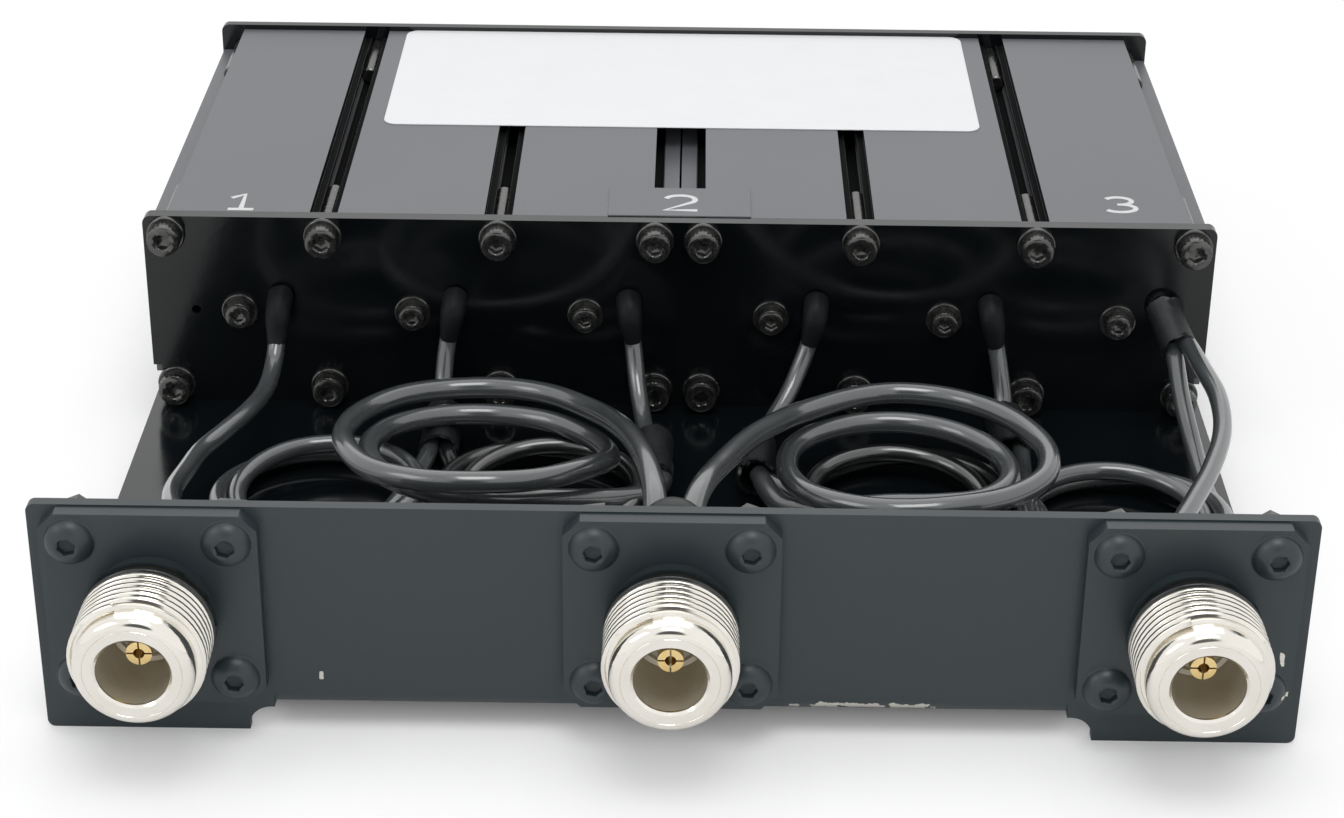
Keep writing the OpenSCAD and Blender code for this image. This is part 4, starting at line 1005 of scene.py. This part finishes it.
# Black heat-shrink tube closes the splices and boots the cable holes and the jacks' solder tails.
# It was shrunk with a flame: it is waisted, faintly wrinkled, and its cut ends are ragged.
def shrunk_tube(name, radius, length, ragged, seed):
    """A shrunk tube's mesh about Z from 0 up, in metres, from sizes in millimetres."""
    wall = 0.45
    end_zone = 0.6
    steps = 24
    rows = []
    for k in range(steps + 1):
        waist = 1 - 0.05 * math.sin(math.pi * k / steps)
        rows.append((length * k / steps, radius * waist))
    rows += [(along, distance - wall) for along, distance in reversed(rows)]
    mesh = turned(name, rows, segments=40, hollow=True, sharp=60)
    for vertex in mesh.vertices:
        spot = Vector((vertex.co.x * 700, vertex.co.y * 700, vertex.co.z * 250 + seed * 9))
        crumple = 1 - 0.05 * (1 + noise.noise(spot)) / 2
        vertex.co.x *= crumple
        vertex.co.y *= crumple
        near_start = vertex.co.z * 1000 < end_zone
        near_end = vertex.co.z * 1000 > length - end_zone
        bite = max(0, noise.noise(Vector((vertex.co.x * 1100, vertex.co.y * 1100, seed * 5))) + 0.35)
        vertex.co.z += (near_start - near_end) * bite * ragged / 1000
    return mesh


def shrink_rubber():
    material, tree = empty_finish("shrunk_black_polyolefin")
    place = add(tree, "ShaderNodeTexCoord").outputs["Object"]
    # fine wrinkles in the tube, a little under a millimetre apart
    folds = add(tree, "ShaderNodeTexNoise", {"Vector": place, "Scale": 1 / 0.0009, "Detail": 3})
    bump = add(tree, "ShaderNodeBump", {"Height": folds.outputs["Fac"], "Distance": 0.00012, "Strength": 0.6})
    scorch = add(tree, "ShaderNodeTexNoise", {"Vector": place, "Scale": 1 / 0.003, "Detail": 3})
    rough = add(tree, "ShaderNodeMapRange", {"Value": scorch.outputs["Fac"], "To Min": 0.3, "To Max": 0.6})
    shader = add(tree, "ShaderNodeBsdfPrincipled",
                 {"Base Color": linear("#15181a"), "Roughness": rough.outputs["Result"],
                  "Normal": bump.outputs["Normal"]})
    add(tree, "ShaderNodeOutputMaterial", {"Surface": shader.outputs["BSDF"]})
    return material


def shrunk_on(name, place, mesh, facing, seed, node):
    """One tube on the harness, which stands for its solid."""
    set_out(name, [place], mesh, facing, rubber, 0, seed, node)


rubber = shrink_rubber()
splice_z = 7.6
splice_radius = 2.85
splice_length = 11
for number, x, y, torn in ((2, -32.5, 56.5, 0.5), (3, -3.1, 49.5, 0.5), (4, 11, 50, 1.6), (5, 46, 58, 0.5)):
    shrunk_on("splice_sleeve_%d" % number, (x, y, splice_z),
              shrunk_tube("sleeve", splice_radius, splice_length, torn, number), toward_rear, number,
              "splice_sleeves")
# a narrower boot closes each of the other cavities' cable holes and follows the cable down
# painted shade: these boots take a copy of the rubber with little reflection, so they stay dark in the
# block's shade
shaded_rubber = rubber.copy()
shaded_rubber.name = "dull_shrunk_polyolefin"
for node in shaded_rubber.node_tree.nodes:
    if node.type == "BSDF_PRINCIPLED":
        node.inputs["Specular IOR Level"].default_value = 0.12
boot_end = plate_front - 0.1
boot_routes = [[(-56, boot_end, hole_z), (-56.1, 74.3, 20.4), (-56.2, 72.4, 17), (-56.3, 71.4, 16)],
               [(-31.4, boot_end, hole_z), (-31.5, 75.1, 20.9), (-31.8, 74.2, 19.2), (-32.3, 73.7, 16.3)],
               [(-7, boot_end, hole_z), (-6.9, 75.1, 20.9), (-6.7, 74.2, 19.2), (-6.3, 73.7, 16.3)],
               [(19.4, boot_end, hole_z), (19.3, 75.1, 20.9), (19.1, 74.2, 19.2), (18.4, 73.6, 16.3)],
               [(43.8, boot_end, hole_z), (43.9, 75.1, 20.9), (44.2, 74.2, 19.2), (44.7, 73.7, 16.3)]]
boot_diameter = 3.6
for number, route in enumerate(boot_routes, 1):
    cable("cavity_boot_%d" % number, route, boot_diameter, ["splice_sleeves"], finish=shaded_rubber,
          tip=0.65)
# the last cavity's boot droops from its cable hole and leans to the right
drooped = (math.radians(115), 0, math.radians(14))
shrunk_on("splice_sleeve_6", (68.075, boot_end, hole_z), shrunk_tube("sleeve", 2.6, 7.8, 0.6, 6),
          drooped, 6, "splice_sleeves")
boot_start = 6
for number, x, radius in ((1, jacks_x[0], 2.9), (3, jacks_x[2], 2.0)):
    shrunk_on("jack_boot_%d" % number, (x, boot_start, jack_z),
              shrunk_tube("boot", radius, 8, 0.4, number + 7), toward_rear, number, "jack_boots")
# the middle boot is shrunk over both cables into a dome
dome_radius = 4.2
dome_waist = 5.5
dome = [(-dome_radius, 0)]
for degrees in range(10, 91, 10):
    angle = math.radians(degrees)
    dome.append((-dome_radius * math.cos(angle), dome_radius * math.sin(angle)))
for degrees in range(0, 81, 10):
    angle = math.radians(degrees)
    dome.append((dome_waist + dome_radius * math.sin(angle), dome_radius * math.cos(angle)))
dome.append((dome_waist + dome_radius, 0))
shrunk_on("jack_boot_2", (0, 8.4, jack_z), turned("dome", dome, 40, sharp=60), (0, 0, 0), 2, "jack_boots")
